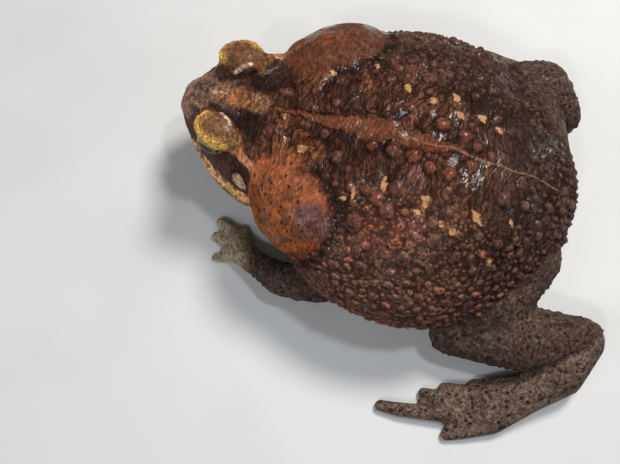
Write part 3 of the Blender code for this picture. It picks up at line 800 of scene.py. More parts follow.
def shaped(points, region, warts, tones):
    """All relief of the skin but the face's, as millimetres along its normal."""
    _, y, _ = points.T
    crown = warts["crown"]
    relief = warts["height"] - RING_DEPTH * warts["ring"] * (1.0 - crown)
    dimple = np.clip(1.0 - warts["reach"] / DIMPLE_REACH, 0.0, 1.0) * ease(warts["size"], 1.2, 2.2)
    relief -= DIMPLE_DEPTH * dimple * region["flank"]
    wide = turned_creases(points, region["lengthwise"], WRINKLES_ACROSS, WRINKLES_ALONG)
    folds = turned_creases(points, region["lengthwise"], FOLDS_ACROSS, FOLDS_ALONG)
    neck = fade(y, -40.0, -15.0)
    loose = np.clip(0.45 + 0.7 * neck + 0.5 * ease(y, 55.0, 82.0), 0.0, 1.2)
    bare = (1.0 - region["gland"]) * (1.0 - 0.9 * crown) * (1.0 - 0.85 * region["belly"])
    skull = region["head"] * fade(y, -66.0, -56.0)
    bare *= (1.0 - 0.9 * skull) * (1.0 - 0.6 * region["limb"]) * (1.0 - region["end"])
    relief += WRINKLE_HEIGHT * (wide - 0.7) * loose * bare
    relief += (FOLD_HEIGHT + 0.5 * neck) * (folds - 0.8) * loose * bare
    grain = pebbles(points, 2.4, 5)
    relief += BELLY_GRAIN_HEIGHT * grain * region["belly"]
    relief += LIMB_GRAIN_HEIGHT * grain * region["limb"] * (1.0 - region["end"]) * (1.0 - crown)
    relief += GLAND_SWELL * cloud(points, 11.0, 8, 2) * region["gland"]
    behind = np.maximum(ease(y, -30.0, -14.0), 2.0 * soaked_gland(points, tones))
    relief += GLAND_WRINKLE_HEIGHT * (wide - 0.7) * (0.25 + 0.75 * behind) * region["gland"]
    relief += TRUNK_SWELL * tones["middle"] * region["trunk"] * (1.0 - crown)
    return relief, {"wide": wide, "folds": folds}


def face_relief(points, normals):
    """The mouth, lids, ear drums and ridges of the head."""
    _, y, z = points.T
    above, share = mouth_shape(points)
    outward = fade(normals[:, 2], 0.55, 0.85)
    in_mouth = fade(share, 0.98, 1.06) * outward * fade(y, -62.0, -54.0)
    relief = -MOUTH_DEPTH * hill(above, 0.0, 0.8) * in_mouth
    relief += LIP_HEIGHT * hill(above, 2.2, 1.3) * in_mouth
    drum, on_side = ear_drum(points)
    relief += DRUM_RIM_HEIGHT * hill(drum, EAR_DRUM_RADIUS + 0.3, 0.8) * on_side
    relief -= DRUM_DEPTH * fade(drum, EAR_DRUM_RADIUS - 1.6, EAR_DRUM_RADIUS) * on_side
    relief += DRUM_MIDDLE_HEIGHT * hill(drum, 0.0, 1.2) * on_side
    rim, u, v = lid_frame(points)
    over = ease(z, 67.0, 70.0)
    relief += LID_RIM_HEIGHT * hill(rim, 0.88, 0.12) * ease(u - 0.3 * v, -1.0, 4.0) * over
    relief -= LID_HOLLOW_DEPTH * fade(rim, 0.25, 0.7) * over
    relief += LID_PEBBLE_HEIGHT * (pebbles(points, 1.9, 9) - 0.5) * fade(rim, 0.95, 1.15) * over
    relief += STREAK_HEIGHT * hill(near_line(points, PINK_STREAK), 0.0, 1.6)
    hole = from_place(points, NOSTRIL)
    relief += NOSTRIL_RIM_HEIGHT * hill(hole, 2.0, 0.9) - NOSTRIL_DEPTH * hill(hole, 0.0, 1.0)
    relief += NOSE_RIDGE_HEIGHT * hill(near_line(points, NOSE_RIDGE), 0.0, 1.8)
    relief += SNOUT_PEBBLE_HEIGHT * (pebbles(points, 2.2, 19) - 0.5) * fade(z, 66.0, 70.0)
    skull_creases = creases(points, *HEAD_CREASES) - 0.7
    relief += SKULL_CREASE_HEIGHT * skull_creases * ease(z, 60.0, 66.0) * ease(rim, 1.0, 1.3)
    return relief


# Colours

def trunk_colours(points, region, tones):
    """The ground of the trunk, and the share of the pale stripe along the spine."""
    x, y, z = points.T
    middle = tones["middle"]
    blotches = ease(tones["broad"] + 0.8 * middle, 0.0, 0.5) * (0.75 - 0.35 * region["flank"])
    right_edge = ease(-x + 4.0 * middle, 46.0, 60.0) * fade(y, 30.0, 60.0)
    colour = layered(
        plain(BACK_BROWN, len(points)),
        (FLANK_BROWN, region["flank"]),
        (REAR_BROWN, ease(y + 6.0 * middle, 44.0, 74.0) * 0.9),
        (DEEP_BROWN, blotches),
        (RIGHT_BROWN, region["far_right"] * 0.9),
        (EDGE_BROWN, right_edge * 0.8),
    )
    high = ease(z, 52.0, 64.0)
    # The grounds include one of painted shade, behind the left gland.
    for ground_x, ground_y, wide, long, ground, share in GROUNDS:
        reach = np.hypot((x - ground_x) / wide, (y - ground_y) / long) + 0.45 * middle
        colour = mixed(colour, ground, fade(reach, 0.55, 1.15) * share * high)
    half = between(STRIPE_HALF_WIDTH, y)
    stripe = fade(from_spine_line(points), half * 0.8, half + 1.5) * (half > 0.0)
    return mixed(colour, STRIPE_TAN, stripe * high * ease(y, -62.0, -52.0)), stripe


def wart_colours(points, ground, region, warts, tones):
    """The warts' own colours: red and brown ones, light ones of the flank, and dull large ones."""
    red = warts["red"]
    far_right = region["far_right"]
    light_ones = ease(red, 0.25, 0.5) * fade(warts["size"], 2.5, 3.2) * region["flank"] * (1.0 - far_right)
    dull_ones = ease(warts["size"], 2.5, 3.2) * fade(red, 0.5, 0.7)
    colour = layered(
        ground * 1.1,
        (WART_BROWN, 0.45 * (1.0 - 0.8 * far_right)),
        (WART_RED, ease(red, 0.55, 0.95) * ease(warts["crown"], 0.2, 0.9) * 0.85),
        (WART_ORANGE, light_ones * 0.7),
        (WART_PURPLE, dull_ones * 0.45),
    )
    pale_rim = hill(warts["reach"], 0.80, 0.20) * region["flank"]
    dark_crown = hill(warts["reach"], 0.0, 0.50) * region["flank"]
    light = 1.0 + 0.45 * tones["small"] + 0.55 * pale_rim - 0.38 * dark_crown
    colour *= (light - 0.30 * dull_ones * region["flank"])[:, None]
    colour *= (1.0 - 0.22 * ease(-points[:, 0], 4.0, 20.0))[:, None]
    return colour


def limb_colours(points, region, warts):
    """Arms and legs: grey-brown, with pale lines and dark clouds."""
    net = ease(np.abs(cloud(points, 7.0, 22, 2)), 0.0, 0.16)
    return layered(
        plain(LIMB_BROWN, len(points)),
        (HAND_GREY, region["end"] * 0.9),
        (LIMB_PALE, (1.0 - net) * 0.5),
        (LIMB_DARK, ease(cloud(points, 14.0, 23, 3), 0.0, 0.6) * 0.35),
        (WART_BROWN, warts["crown"] * 0.5),
    )


def gland_colours(points, normals, tones):
    """The glands behind the head: orange on the left, browner on the right and in patches low down, with
    painted shade on their faces that turn down.
    """
    x, y, z = points.T
    middle = tones["middle"]
    up = normals[:, 2]
    low_side = ease(cloud(points, 10.0, 27, 3), -0.05, 0.35) * fade(z, 64.0, 76.0)
    on_right = fade(x, -8.0, 8.0)
    colour = layered(
        plain(GLAND_ORANGE, len(points)),
        (GLAND_ROSE, ease(up + 0.5 * middle, 0.45, 0.95) * 0.9),
        (GLAND_BROWN, ease(middle + 0.5 * tones["broad"], 0.0, 0.45) * 0.55),
        (GLAND_PURPLE, soaked_gland(points, tones) * 0.85),
        (GLAND_BROWN, low_side * 0.45),
        (GLAND_BROWN, on_right * (0.80 + 0.2 * ease(y + 8.0 * middle, -40.0, -22.0))),
        (GLAND_TAN, on_right * 0.3 * fade(up + 0.3 * middle, 0.2, 0.6)),
        # Painted shade on the faces of the glands that turn down.
        (DARK_BROWN, ease(-up + 0.5 * middle, -0.25, 0.35) * 0.6),
    )
    return colour * (1.0 + 0.3 * tones["small"][:, None])


def face_colours(points, normals, tones):
    """The head's ground, its strokes of colour, lids, lips and ear drums, with painted shade in its creases,
    furrow, mouth and nostril, and painted highlights on a streak by the lid and on the eye's lower rim.
    """
    x, y, z = points.T
    small, middle = tones["small"], tones["middle"]
    colour = plain(CHEEK_BROWN, len(points))
    for stroke, radius, share, line in HEAD_STROKES:
        reach = near_line(points, line) / radius + 0.30 * middle + 0.15 * small
        colour = mixed(colour, stroke, fade(reach, 0.6, 1.15) * share)
    colour *= (1.0 + 0.45 * small)[:, None]

    skull_crease_shade = 1.0 - creases(points, *HEAD_CREASES)
    rim, u, v = lid_frame(points)
    over = ease(z + 0.1 * v, 65.0, 67.5) * fade(rim + 0.1 * small, 1.02, 1.16)
    edge = hill(rim, 1.0, 0.26) * ease(u - 0.45 * v + 1.5 * middle, -4.0, 1.0)
    streak = near_line(points, PINK_STREAK) + 0.9 * small
    above, share = mouth_shape(points)
    band = ease(above, -0.2, 1.0) * fade(z + 1.8 * middle, 46.2, 48.2)
    band *= ease(share, 0.30, 0.5) * fade(y, -56.0, -48.0) * fade(normals[:, 2], 0.6, 0.9)
    band *= 0.35 + 0.65 * ease(z + 1.5 * middle, 39.0, 42.5)
    speckle = ease(cloud(points, 3.4, 33, 2), -0.25, 0.10)
    under = fade(above, -9.0, -2.0) * fade(y, -60.0, -46.0)
    mouth = hill(above, 0.0, 0.7) * fade(share, 0.98, 1.06) * fade(y, -62.0, -54.0)
    colour = layered(
        colour,
        # Painted shade in the creases of the skull.
        (DARK_BROWN, skull_crease_shade * 0.45 * ease(z, 56.0, 64.0) * ease(y, -90.0, -72.0)),
        (LID_BROWN, over),
        (LID_OCHRE, np.clip(edge * 1.2, 0.0, 1.0) * over),
        (LID_YELLOW, np.clip(edge, 0.0, 1.0) * ease(v, 3.0, 8.0) * over * 0.8),
        # Painted highlight: a pale pink streak along the crest at the inner edge of the lid.
        (STREAK_HIGHLIGHT_PINK, fade(streak, 0.7, 1.7) * 0.95),
        (LIP_OCHRE, np.clip(band * (0.20 + 0.80 * speckle), 0.0, 1.0) * 0.95),
        (BELLY_CREAM, under * 0.75),
        # Painted shade in the groove of the mouth.
        (DARK_BROWN, mouth * 0.85),
    )
    colour *= (1.0 - 0.25 * fade(x, -8.0, 8.0) * over)[:, None]

    drum, on_side = ear_drum(points)
    hole = from_place(points, NOSTRIL)
    # Painted highlight: a pale line along the wet rim of the lower lid, under the eye.
    eye_rim_highlight = hill(from_place(points, SHOWN_EYE), EYE_RADIUS + 0.6, 0.5) * fade(z, 63.0, 66.0)
    return layered(
        colour,
        (DRUM_BROWN, fade(drum, 3.6, 4.4) * on_side * 0.9),
        (DARK_BROWN, hill(drum, 5.2, 0.8) * on_side * 0.7),
        (RIDGE_TAN, hill(hole, 2.4, 0.9) * 0.45),
        # Painted shade inside the nostril.
        (DARK_BROWN, fade(hole, 0.8, 1.6)),
        (EYE_RIM_HIGHLIGHT, eye_rim_highlight * 0.7),
    )


def skin_colours(points, normals, region, warts, furrows, away, tones):
    """The colour of every point of the skin."""
    ground, stripe = trunk_colours(points, region, tones)
    crown = warts["crown"]
    # Painted shade in the creases of the wrinkles and folds.
    lines = (1.0 - furrows["wide"]) * 0.20 + (1.0 - furrows["folds"]) * 0.50
    lines = np.clip(lines, 0.0, 0.75) * (1.0 - 0.75 * stripe) * (1.0 - crown)
    # Painted shade in the crease along the rear edge of the glands.
    gland_crease_shade = hill(away["gland"], 2.6, 1.5) * ease(points[:, 1], -40.0, -22.0)
    on_crest = near_line(points, CREST_LINE) / 3.6 + 0.35 * tones["middle"] + 0.2 * tones["small"]
    mottle = ease(cloud(points, 7.0, 41, 3), -0.1, 0.3)
    belly = mixed(plain(BELLY_CREAM, len(points)), BELLY_GREY, mottle * 0.7)
    return layered(
        ground,
        (DARK_BROWN, lines),
        (wart_colours(points, ground, region, warts, tones), ease(crown, 0.0, 0.65)),
        (limb_colours(points, region, warts), region["limb"]),
        (DARK_BROWN, gland_crease_shade * 0.8 * region["trunk"]),
        (gland_colours(points, normals, tones), region["gland"]),
        (face_colours(points, normals, tones), region["face"]),
        (CREST_PINK, fade(on_crest, 0.6, 1.2) * (1.0 - 0.8 * region["gland"]) * 0.95),
        (belly, region["belly"] * 0.9),
    )


# The finished skin

def skin_values(points, normals, region, warts, tones):
    """The values on the vertices that the skin's material reads."""
    x, y, z = points.T
    limb, gland, belly, face = (region[name] for name in ("limb", "gland", "belly", "face"))
    from_spine = from_spine_line(points)
    open_flank = ease(from_spine + 4.0 * tones["middle"], 22.0, 34.0) * region["trunk"]
    open_flank *= (1.0 - 0.7 * ease(y, 56.0, 80.0)) * (1.0 - 0.5 * ease(-x, 0.0, 20.0))
    open_flank *= ease(y, -22.0, -8.0)
    faded = fade(y, SPINE_LINE_START, SPINE_LINE_START + 6.0) + fade(z, 52.0, 66.0)
    on_lid = fade(lid_frame(points)[0], 0.95, 1.1) * ease(z, 66.0, 69.0)
    smooth = np.maximum.reduce([belly, on_lid, face * fade(z, 52.0, 62.0), 0.75 * limb, 0.6 * gland])
    upright = ease(normals[:, 2], 0.05, 0.6) * (1.0 - 0.5 * limb)
    return {
        "gland_share": gland * (0.55 + 0.45 * ease(x, -8.0, 8.0)),
        "limb_share": limb,
        "granule_share": open_flank * (1.0 - belly),
        "spine_reach": from_spine + 5.0 * faded,
        "wart_share": warts["crown"],
        "wart_size": warts["size"],
        "wart_reach": warts["reach"],
        "flank_share": region["flank"],
        "lengthwise_share": region["lengthwise"],
        "wrinkle_share": (1.0 - smooth) * (1.0 - 0.35 * face),
        "grain_share": np.clip(0.35 + on_lid + 0.3 * limb - 0.2 * gland, 0.0, 1.0),
        "lid_share": on_lid,
        "soaked_share": soaked(points, tones),
        "wet_share": upright * (1.0 - 0.9 * face * fade(z, 60.0, 68.0)),
        "stripe_reach": stripe_reach(points),
        "mark_reach": mark_reach(points),
    }


def store(mesh, name, kind, field, values):
    """Stores values for each vertex under a name."""
    layer = mesh.attributes.new(name, kind, "POINT")
    layer.data.foreach_set(field, np.array(values, dtype=np.float32).ravel())


def make_skin():
    """The whole skin, with its relief and its colours."""
    skin = largest_part(joined_flesh())
    evened(skin)
    thinned_below(skin)
    made_finer(skin)
    points = read_points(skin)
    normals = read_normals(skin)
    away = distance_to_groups(points)
    tones = {"broad": cloud(points, 26.0, 1), "middle": cloud(points, 8.0, 2), "small": cloud(points, 3.0, 4)}
    region = regions(points, normals, away, tones)
    warts = plant_warts(points, region)
    relief, furrows = shaped(points, region, warts, tones)
    relief += face_relief(points, normals) * region["face"]
    finished = points + normals * (relief - SINK)[:, None]
    finished[:, 2] = np.maximum(finished[:, 2], 0.0)
    write_points(skin, finished)

    mesh = skin.data
    colour = np.ones((len(points), 4))
    colour[:, :3] = np.clip(skin_colours(points, normals, region, warts, furrows, away, tones), 0.0, 1.0)
    store(mesh, "skin_tint", "FLOAT_COLOR", "color", colour)
    for name, value in skin_values(points, normals, region, warts, tones).items():
        store(mesh, name, "FLOAT", "value", value)
    store(mesh, "place_on_wart", "FLOAT_VECTOR", "vector", warts["place"])
    mesh.materials.clear()
    mesh.materials.append(wet_skin())
    pick(skin)
    bpy.ops.object.shade_smooth()
    return skin


# Finishes

class Graph:
    """Short calls for building a material's nodes."""

    def __init__(self, name):
        self.material = bpy.data.materials.new(name)
        self.material.use_nodes = True
        self.tree = self.material.node_tree
        self.shader = self.tree.nodes["Principled BSDF"]

    def node(self, kind, **settings):
        made = self.tree.nodes.new(kind)
        for key, value in settings.items():
            setattr(made, key, value)
        return made

    def feed(self, sockets, values):
        """Links each value to its socket, or sets it there when it is a number or a colour."""
        for socket, value in zip(sockets, values):
            if isinstance(value, (int, float)):
                socket.default_value = value
            elif isinstance(value, tuple):
                socket.default_value = (*value, 1.0)
            else:
                self.tree.links.new(value, socket)

    def into_shader(self, **inputs):
        """Sets or links inputs of the shader, named with _ for each space."""
        names = [name.replace("_", " ") for name in inputs]
        self.feed([self.shader.inputs[name] for name in names], inputs.values())

    def place(self):
        return self.node("ShaderNodeTexCoord").outputs["Object"]

    def attribute(self, name, output="Fac"):
        return self.node("ShaderNodeAttribute", attribute_name=name).outputs[output]

    def texture(self, kind, place, scale, **inputs):
        made = self.node(kind)
        for key, value in {"Vector": place, "Scale": scale, **inputs}.items():
            self.feed([made.inputs[key]], [value])
        return made

    def clouds(self, place, scale, detail, roughness=0.5):
        """Soft noise, from about 0.3 to 0.7, with scale lumps to a metre."""
        return self.texture("ShaderNodeTexNoise", place, scale, Detail=detail, Roughness=roughness).outputs[0]

    def cells(self, place, scale, randomness):
        """Distance from the middle of the nearest of many cells, scale of them to a metre."""
        return self.texture("ShaderNodeTexVoronoi", place, scale, Randomness=randomness).outputs["Distance"]

    def scaled(self, place, factors):
        made = self.node("ShaderNodeMapping", vector_type="POINT")
        self.feed([made.inputs["Vector"]], [place])
        made.inputs["Scale"].default_value = factors
        return made.outputs["Vector"]

    def sum(self, operation, first, *others):
        for other in others:
            made = self.node("ShaderNodeMath", operation=operation)
            self.feed(made.inputs, (first, other))
            first = made.outputs[0]
        return first

    def times(self, *values):
        return self.sum("MULTIPLY", *values)

    def plus(self, *values):
        return self.sum("ADD", *values)

    def minus(self, *values):
        return self.sum("SUBTRACT", *values)

    def larger(self, *values):
        return self.sum("MAXIMUM", *values)

    def ramp(self, value, low, high, start=0.0, end=1.0):
        """start below low, end above high, and a soft step between."""
        made = self.node("ShaderNodeMapRange", interpolation_type="SMOOTHSTEP")
        names = ("Value", "From Min", "From Max", "To Min", "To Max")
        self.feed([made.inputs[name] for name in names], (value, low, high, start, end))
        return made.outputs["Result"]

    def fade(self, value, low, high):
        """1 below low, 0 above high, and a soft step between."""
        return self.ramp(value, low, high, 1.0, 0.0)

    def roughened(self, value, pattern, amount):
        """A value moved up and down by a pattern."""
        return self.plus(value, self.times(self.minus(pattern, 0.5), amount))

    def blend(self, share, first, second, kind="RGBA"):
        made = self.node("ShaderNodeMix", data_type=kind)
        if kind == "RGBA":
            made.clamp_result = True
        self.feed([socket for socket in made.inputs if socket.enabled], (share, first, second))
        return [socket for socket in made.outputs if socket.enabled][0]

    def layered(self, colour, *layers):
        """A colour with others laid over it, each by its own share."""
        for other, share in layers:
            colour = self.blend(share, colour, other)
        return colour

    def surface(self, height, strength):
        """A surface bent by a height of up to about half a millimetre."""
        bump = self.node("ShaderNodeBump")
        names = ("Strength", "Distance", "Height")
        self.feed([bump.inputs[name] for name in names], (strength, 0.0005, height))
        return bump.outputs[0]


class SkinGraph(Graph):
    """The nodes of the wet skin, with the patterns and mesh values that its parts share."""

    def __init__(self):
        super().__init__("wet_skin")
        self.here = self.place()
        self.small_clouds = self.clouds(self.here, 420.0, 5.0, 0.65)
        self.lumps = self.clouds(self.here, 240.0, 4.0, 0.6)
        self.patches = self.clouds(self.here, 70.0, 3.0, 0.55)
        self.fine = self.clouds(self.here, 1900.0, 3.0, 0.6)
        self.grains = self.cells(self.here, 820.0, 1.0)
        self.granule = self.cells(self.here, 430.0, 0.95)
        self.gland = self.attribute("gland_share")
        self.wart = self.attribute("wart_share")
        self.wart_size = self.attribute("wart_size")
        self.flank = self.attribute("flank_share")
        self.off_wart = self.fade(self.wart, 0.05, 0.35)
        self.granular = self.times(self.attribute("granule_share"), self.off_wart)

    def tinted(self):
        """The tint of the mesh, cloudy, and less so on the glands."""
        shade = self.ramp(self.small_clouds, 0.30, 0.70, 0.45, 1.60)
        shade = self.plus(shade, self.times(self.minus(1.0, shade), self.times(self.gland, 0.55)))
        varied = self.node("ShaderNodeVectorMath", operation="SCALE")
        self.feed((varied.inputs[0], varied.inputs["Scale"]), (self.attribute("skin_tint", "Color"), shade))
        return varied.outputs[0]

    def striped(self, ground):
        """The pale stripe with its rough, dark-fringed edge, and where it is."""
        reach = self.roughened(self.attribute("stripe_reach"), self.lumps, 3.2)
        in_stripe = self.fade(reach, -0.10, 0.12)
        fringe = self.times(self.ramp(reach, 0.02, 0.20), self.fade(reach, 0.35, 1.0), 0.85)
        tan = self.blend(self.ramp(self.lumps, 0.35, 0.65), STRIPE_SHADE, STRIPE_LIGHT)
        shown = self.times(in_stripe, self.off_wart)
        return self.layered(ground, (DARK_BROWN, fringe), (tan, shown)), in_stripe

    def wrinkles(self, factors):
        """Fine furrows between long cells of skin; the skin sinks there and they are painted dark as shade.
        """
        moved = self.here
        for bend, reach in WRINKLE_BENDS:
            bent = self.texture("ShaderNodeTexNoise", self.here, bend, Detail=2.0)
            shift = self.node("ShaderNodeVectorMath", operation="MULTIPLY_ADD")
            shift.inputs[1].default_value = (reach, reach, reach)
            self.feed((shift.inputs[0], shift.inputs[2]), (bent.outputs["Color"], moved))
            moved = shift.outputs[0]
        cells = self.texture("ShaderNodeTexVoronoi", self.scaled(moved, factors), 400.0, Randomness=1.0)
        cells.feature = "DISTANCE_TO_EDGE"
        return self.fade(cells.outputs["Distance"], 0.03, 0.15)

    def skin_lines(self, in_stripe):
        """The wrinkles of both directions, where the skin has any."""
        lengthwise = self.attribute("lengthwise_share")
        across = self.wrinkles(WRINKLE_FACTORS_ACROSS)
        along = self.wrinkles(WRINKLE_FACTORS_ALONG)
        open_skin = self.times(self.attribute("wrinkle_share"), self.ramp(self.wart, 0.10, 0.45, 1.0, 0.10))
        return self.times(
            self.blend(lengthwise, across, along, "FLOAT"),
            open_skin,
            self.ramp(self.lumps, 0.38, 0.58, 0.72, 1.0),
            self.ramp(in_stripe, 0.0, 1.0, 1.0, 0.45),
            self.ramp(self.attribute("granule_share"), 0.2, 0.8, 1.0, 0.35),
        )

    def grained(self, colour):
        """Granules of the open flank, dark spots of the limbs, and grains of the lids, with painted shade in
        the gaps between granules and between grains.
        """
        top = self.times(self.fade(self.granule, 0.10, 0.40), self.granular, 0.62)
        # Painted shade in the gaps between the granules.
        gap = self.times(self.ramp(self.granule, 0.40, 0.62), self.granular,
                         self.ramp(self.flank, 0.2, 0.8, 0.75, 0.58))
        pore = self.times(self.fade(self.granule, 0.06, 0.15), self.granular, 0.5)
        spots = self.fade(self.cells(self.here, 250.0, 0.9), 0.20, 0.32)
        # Painted shade in the gaps between the fine grains.
        grain_gap_shade = self.times(self.ramp(self.grains, 0.38, 0.75), self.attribute("grain_share"), 0.85)
        lid_grain = self.blend(self.ramp(self.grains, 0.25, 0.60, 0.75, 0.0), self.tinted(), LID_GRAIN)
        return self.layered(
            colour,
            (GRANULE_TAN, top),
            (DARK_BROWN, gap),
            (WART_PORE, pore),
            (LIMB_DARK, self.times(spots, self.attribute("limb_share"), 0.92)),
            (DARK_BROWN, grain_gap_shade),
            (lid_grain, self.attribute("lid_share")),
        )

    def wart_ring_shade(self):
        """Painted shade in the ring round the foot of each wart."""
        reach = self.attribute("wart_reach")
        return self.times(
            self.ramp(reach, 0.70, 1.05),
            self.fade(reach, 1.12, 1.65),
            self.ramp(self.wart_size, 1.4, 3.2, 0.30, 0.78),
            self.ramp(self.flank, 0.2, 0.8, 1.0, 0.80),
        )

    def wart_pores(self):
        """One pore on a small wart, and many on a large one."""
        radial = self.node("ShaderNodeVectorMath", operation="LENGTH")
        self.feed(radial.inputs, [self.attribute("place_on_wart", "Vector")])
        one = self.times(self.fade(radial.outputs["Value"], 0.12, 0.32), self.fade(self.wart_size, 2.5, 3.0))
        pits = self.cells(self.here, 420.0, 1.0)
        many = self.times(self.fade(pits, 0.14, 0.30), self.ramp(self.wart_size, 2.5, 3.0))
        return self.times(self.larger(one, many), self.ramp(self.wart, 0.55, 0.8),
                          self.ramp(self.flank, 0.2, 0.7, 0.35, 1.0))

    def gland_pores(self):
        """The slits of the glands' pores, and the brown blotches round them."""
        pores = self.cells(self.scaled(self.here, GLAND_PORE_FACTORS), 440.0, 0.85)
        on_gland = self.ramp(self.gland, 0.6, 0.95)
        slit = self.times(self.fade(pores, 0.17, 0.31), on_gland)
        blotch = self.times(self.fade(pores, 0.20, 0.60), self.ramp(self.patches, 0.42, 0.60), on_gland, 0.60)
        return slit, blotch

    def wetness(self):
        """Share of the film of water: in patches, in the wettest spots, and thin on the warts."""
        on_top = self.attribute("wet_share")
        wet = self.times(self.ramp(self.patches, 0.50, 0.62, 0.0, 0.7), on_top)
        damp = self.larger(self.ramp(self.wart, 0.5, 0.9, 0.0, 0.55), self.times(self.granular, 0.30))
        return self.larger(wet, self.attribute("soaked_share"), self.times(damp, on_top))


def wet_skin():
    """Skin of many tiny grains, wrinkles and pores, with a film of water over it."""
    g = SkinGraph()
    striped, in_stripe = g.striped(g.tinted())
    line = g.skin_lines(in_stripe)
    # Painted shade in the furrows of the wrinkles, which the bump also sinks.
    grained = g.grained(g.blend(g.times(line, 0.88), striped, DARK_BROWN))
    wart_pore = g.wart_pores()
    slit, blotch = g.gland_pores()
    marked = g.roughened(g.attribute("mark_reach"), g.small_clouds, 3.4)
    pale = g.blend(g.ramp(g.fine, 0.35, 0.65), MARK_SHADE, PALE_MARK)
    thin_line = g.roughened(g.attribute("spine_reach"), g.small_clouds, 0.8)
    colour = g.layered(
        grained,
        # Painted shade: the dark ring round the foot of each wart.
        (DARK_BROWN, g.wart_ring_shade()),
        (WART_PORE, g.times(wart_pore, 0.85)),
        (GLAND_BROWN, blotch),
        (GLAND_PORE, g.times(slit, 0.88)),
        (pale, g.fade(marked, 0.78, 0.92)),
        (SPINE_LINE, g.ramp(thin_line, 0.20, 0.65, 0.70, 0.0)),
    )

    height = g.plus(
        g.times(g.small_clouds, 0.8),
        g.times(line, -1.3),
        g.times(slit, -1.0),
        g.times(wart_pore, -0.9),
        g.times(g.ramp(g.granule, 0.0, 0.62, 1.7, 0.0), g.granular),
    )
    fine_height = g.plus(height, g.times(g.grains, -0.60), g.times(g.fine, 0.35))
    g.into_shader(
        Base_Color=colour,
        Roughness=g.ramp(g.small_clouds, 0.3, 0.7, 0.50, 0.75),
        Specular_IOR_Level=0.06,
        Normal=g.surface(fine_height, 0.8),
        Coat_Weight=g.ramp(g.wetness(), 0.0, 1.0, 0.04, 1.0),
        Coat_Roughness=0.07,
        Coat_IOR=1.36,
        Coat_Normal=g.surface(height, 0.6),
    )
    return g.material


def eye_finish():
    """Gold iris with dark veins and a dark outer ring, partly painted shade from the lid, round a wide black
    pupil, under a clear wet surface.
    """
    g = Graph("eye_gold_and_black")
    gaze = g.attribute("gaze", "Vector")
    parts = g.node("ShaderNodeSeparateXYZ")
    g.feed(parts.inputs, [gaze])
    across, up, _ = parts.outputs
    wide = g.times(across, 1.0 / PUPIL_HALF_WIDTH)
    tall = g.times(up, 1.0 / PUPIL_HALF_HEIGHT)
    oval = g.plus(g.times(wide, wide), g.times(tall, tall))
    ring = g.plus(g.times(across, across), g.times(up, up))
    veins = g.clouds(gaze, 14.0, 6.0, 0.7)
    gold = g.blend(g.ramp(veins, 0.40, 0.60), IRIS_GOLD, IRIS_VEIN)
    # Dark outer ring of the iris: partly the iris's own dark edge, partly painted shade from the lid.
    colour = g.layered(gold, (IRIS_EDGE_AND_LID_SHADE, g.ramp(ring, 0.44, 0.62)), (PUPIL_BLACK, g.fade(oval, 0.9, 1.1)))
    g.into_shader(
        Base_Color=colour,
        Roughness=0.40,
        Specular_IOR_Level=0.10,
        Coat_Weight=0.8,
        Coat_IOR=1.30,
        Coat_Roughness=0.03,
    )
    return g.material


def floor_finish():
    """A plain pale floor with a hint of grain."""
    g = Graph("pale_floor")
    grain = g.clouds(g.place(), 12.0, 4.0)
    g.into_shader(Base_Color=g.blend(g.ramp(grain, 0.3, 0.7), FLOOR_GREY, FLOOR_WHITE), Roughness=0.6)
    return g.material


# The eyes

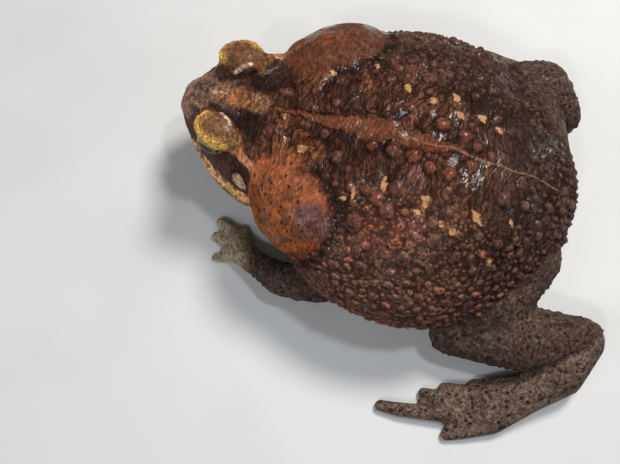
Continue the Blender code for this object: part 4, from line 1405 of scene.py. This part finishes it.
def make_eye(side_name, side, finish):
    """One eyeball, looking out to the side and a little forward and up."""
    low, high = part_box("eye_" + side_name)
    bpy.ops.object.select_all(action="DESELECT")
    bpy.ops.mesh.primitive_uv_sphere_add(segments=64, ring_count=40, radius=EYE_RADIUS * MM)
    eye = bpy.context.object
    eye.name = "eyeball_" + side_name
    forward = Vector((side * GAZE[0], GAZE[1], GAZE[2])).normalized()
    upward = (EYE_UP - forward * EYE_UP.dot(forward)).normalized()
    across = upward.cross(forward)
    gaze = []
    for vertex in eye.data.vertices:
        direction = vertex.co.normalized()
        gaze.append((direction.dot(across), direction.dot(upward), direction.dot(forward)))
        bulge = max(0.0, direction.dot(forward) - CORNEA_EDGE) / (1.0 - CORNEA_EDGE)
        vertex.co = vertex.co * (1.0 + CORNEA_BULGE * bulge)
    store(eye.data, "gaze", "FLOAT_VECTOR", "vector", gaze)
    moved = Vector((side * EYE_FORWARD_OF_SOLID.x, EYE_FORWARD_OF_SOLID.y, EYE_FORWARD_OF_SOLID.z)) * MM
    eye.data.transform(Matrix.Translation((low + high) / 2 + moved))
    eye.data.materials.append(finish)
    bpy.ops.object.shade_smooth()
    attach(eye, "root")
    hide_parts("eye_" + side_name)


# Stage

def make_camera():
    """The camera that took the picture."""
    data = bpy.data.cameras.new("camera")
    data.sensor_width = SENSOR
    data.lens = SENSOR * FOCAL_LENGTH / PICTURE_WIDTH
    data.clip_start = 0.01
    data.clip_end = 20.0
    camera = bpy.data.objects.new("camera", data)
    bpy.context.scene.collection.objects.link(camera)
    turn = Matrix((CAMERA_RIGHT, CAMERA_UP, CAMERA_BACK)).transposed().to_4x4()
    turn.translation = on_floor_plan(CAMERA_PLACE)
    camera.matrix_world = turn
    bpy.context.scene.camera = camera


def make_light(name, place, target_height, size, power, colour):
    """A round lamp, facing a place above the middle of the floor."""
    data = bpy.data.lights.new(name, "AREA")
    data.shape = "DISK"
    data.size = size
    data.energy = power
    data.color = colour
    light = bpy.data.objects.new(name, data)
    bpy.context.scene.collection.objects.link(light)
    light.location = place
    away = Vector(place) - Vector((0.0, 0.0, target_height))
    light.rotation_euler = away.to_track_quat("Z", "Y").to_euler()


def make_stage():
    """The floor, the soft light of the room and the lamps."""
    bpy.ops.object.select_all(action="DESELECT")
    bpy.ops.mesh.primitive_plane_add(size=FLOOR_SIZE)
    floor = bpy.context.object
    floor.name = "floor"
    floor.data.materials.append(floor_finish())
    world = bpy.data.worlds.new("soft_room")
    world.use_nodes = True
    background = world.node_tree.nodes["Background"]
    background.inputs["Color"].default_value = ROOM_COLOUR
    background.inputs["Strength"].default_value = ROOM_STRENGTH
    bpy.context.scene.world = world
    for lamp in LAMPS:
        make_light(*lamp)


make_camera()
make_stage()
toad_skin = make_skin()
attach(toad_skin, "root")
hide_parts(*[name for group in GROUPS.values() for name in group])
gold_and_black = eye_finish()
make_eye("left", 1.0, gold_and_black)
make_eye("right", -1.0, gold_and_black)

bpy.context.scene.view_settings.view_transform = "Standard"
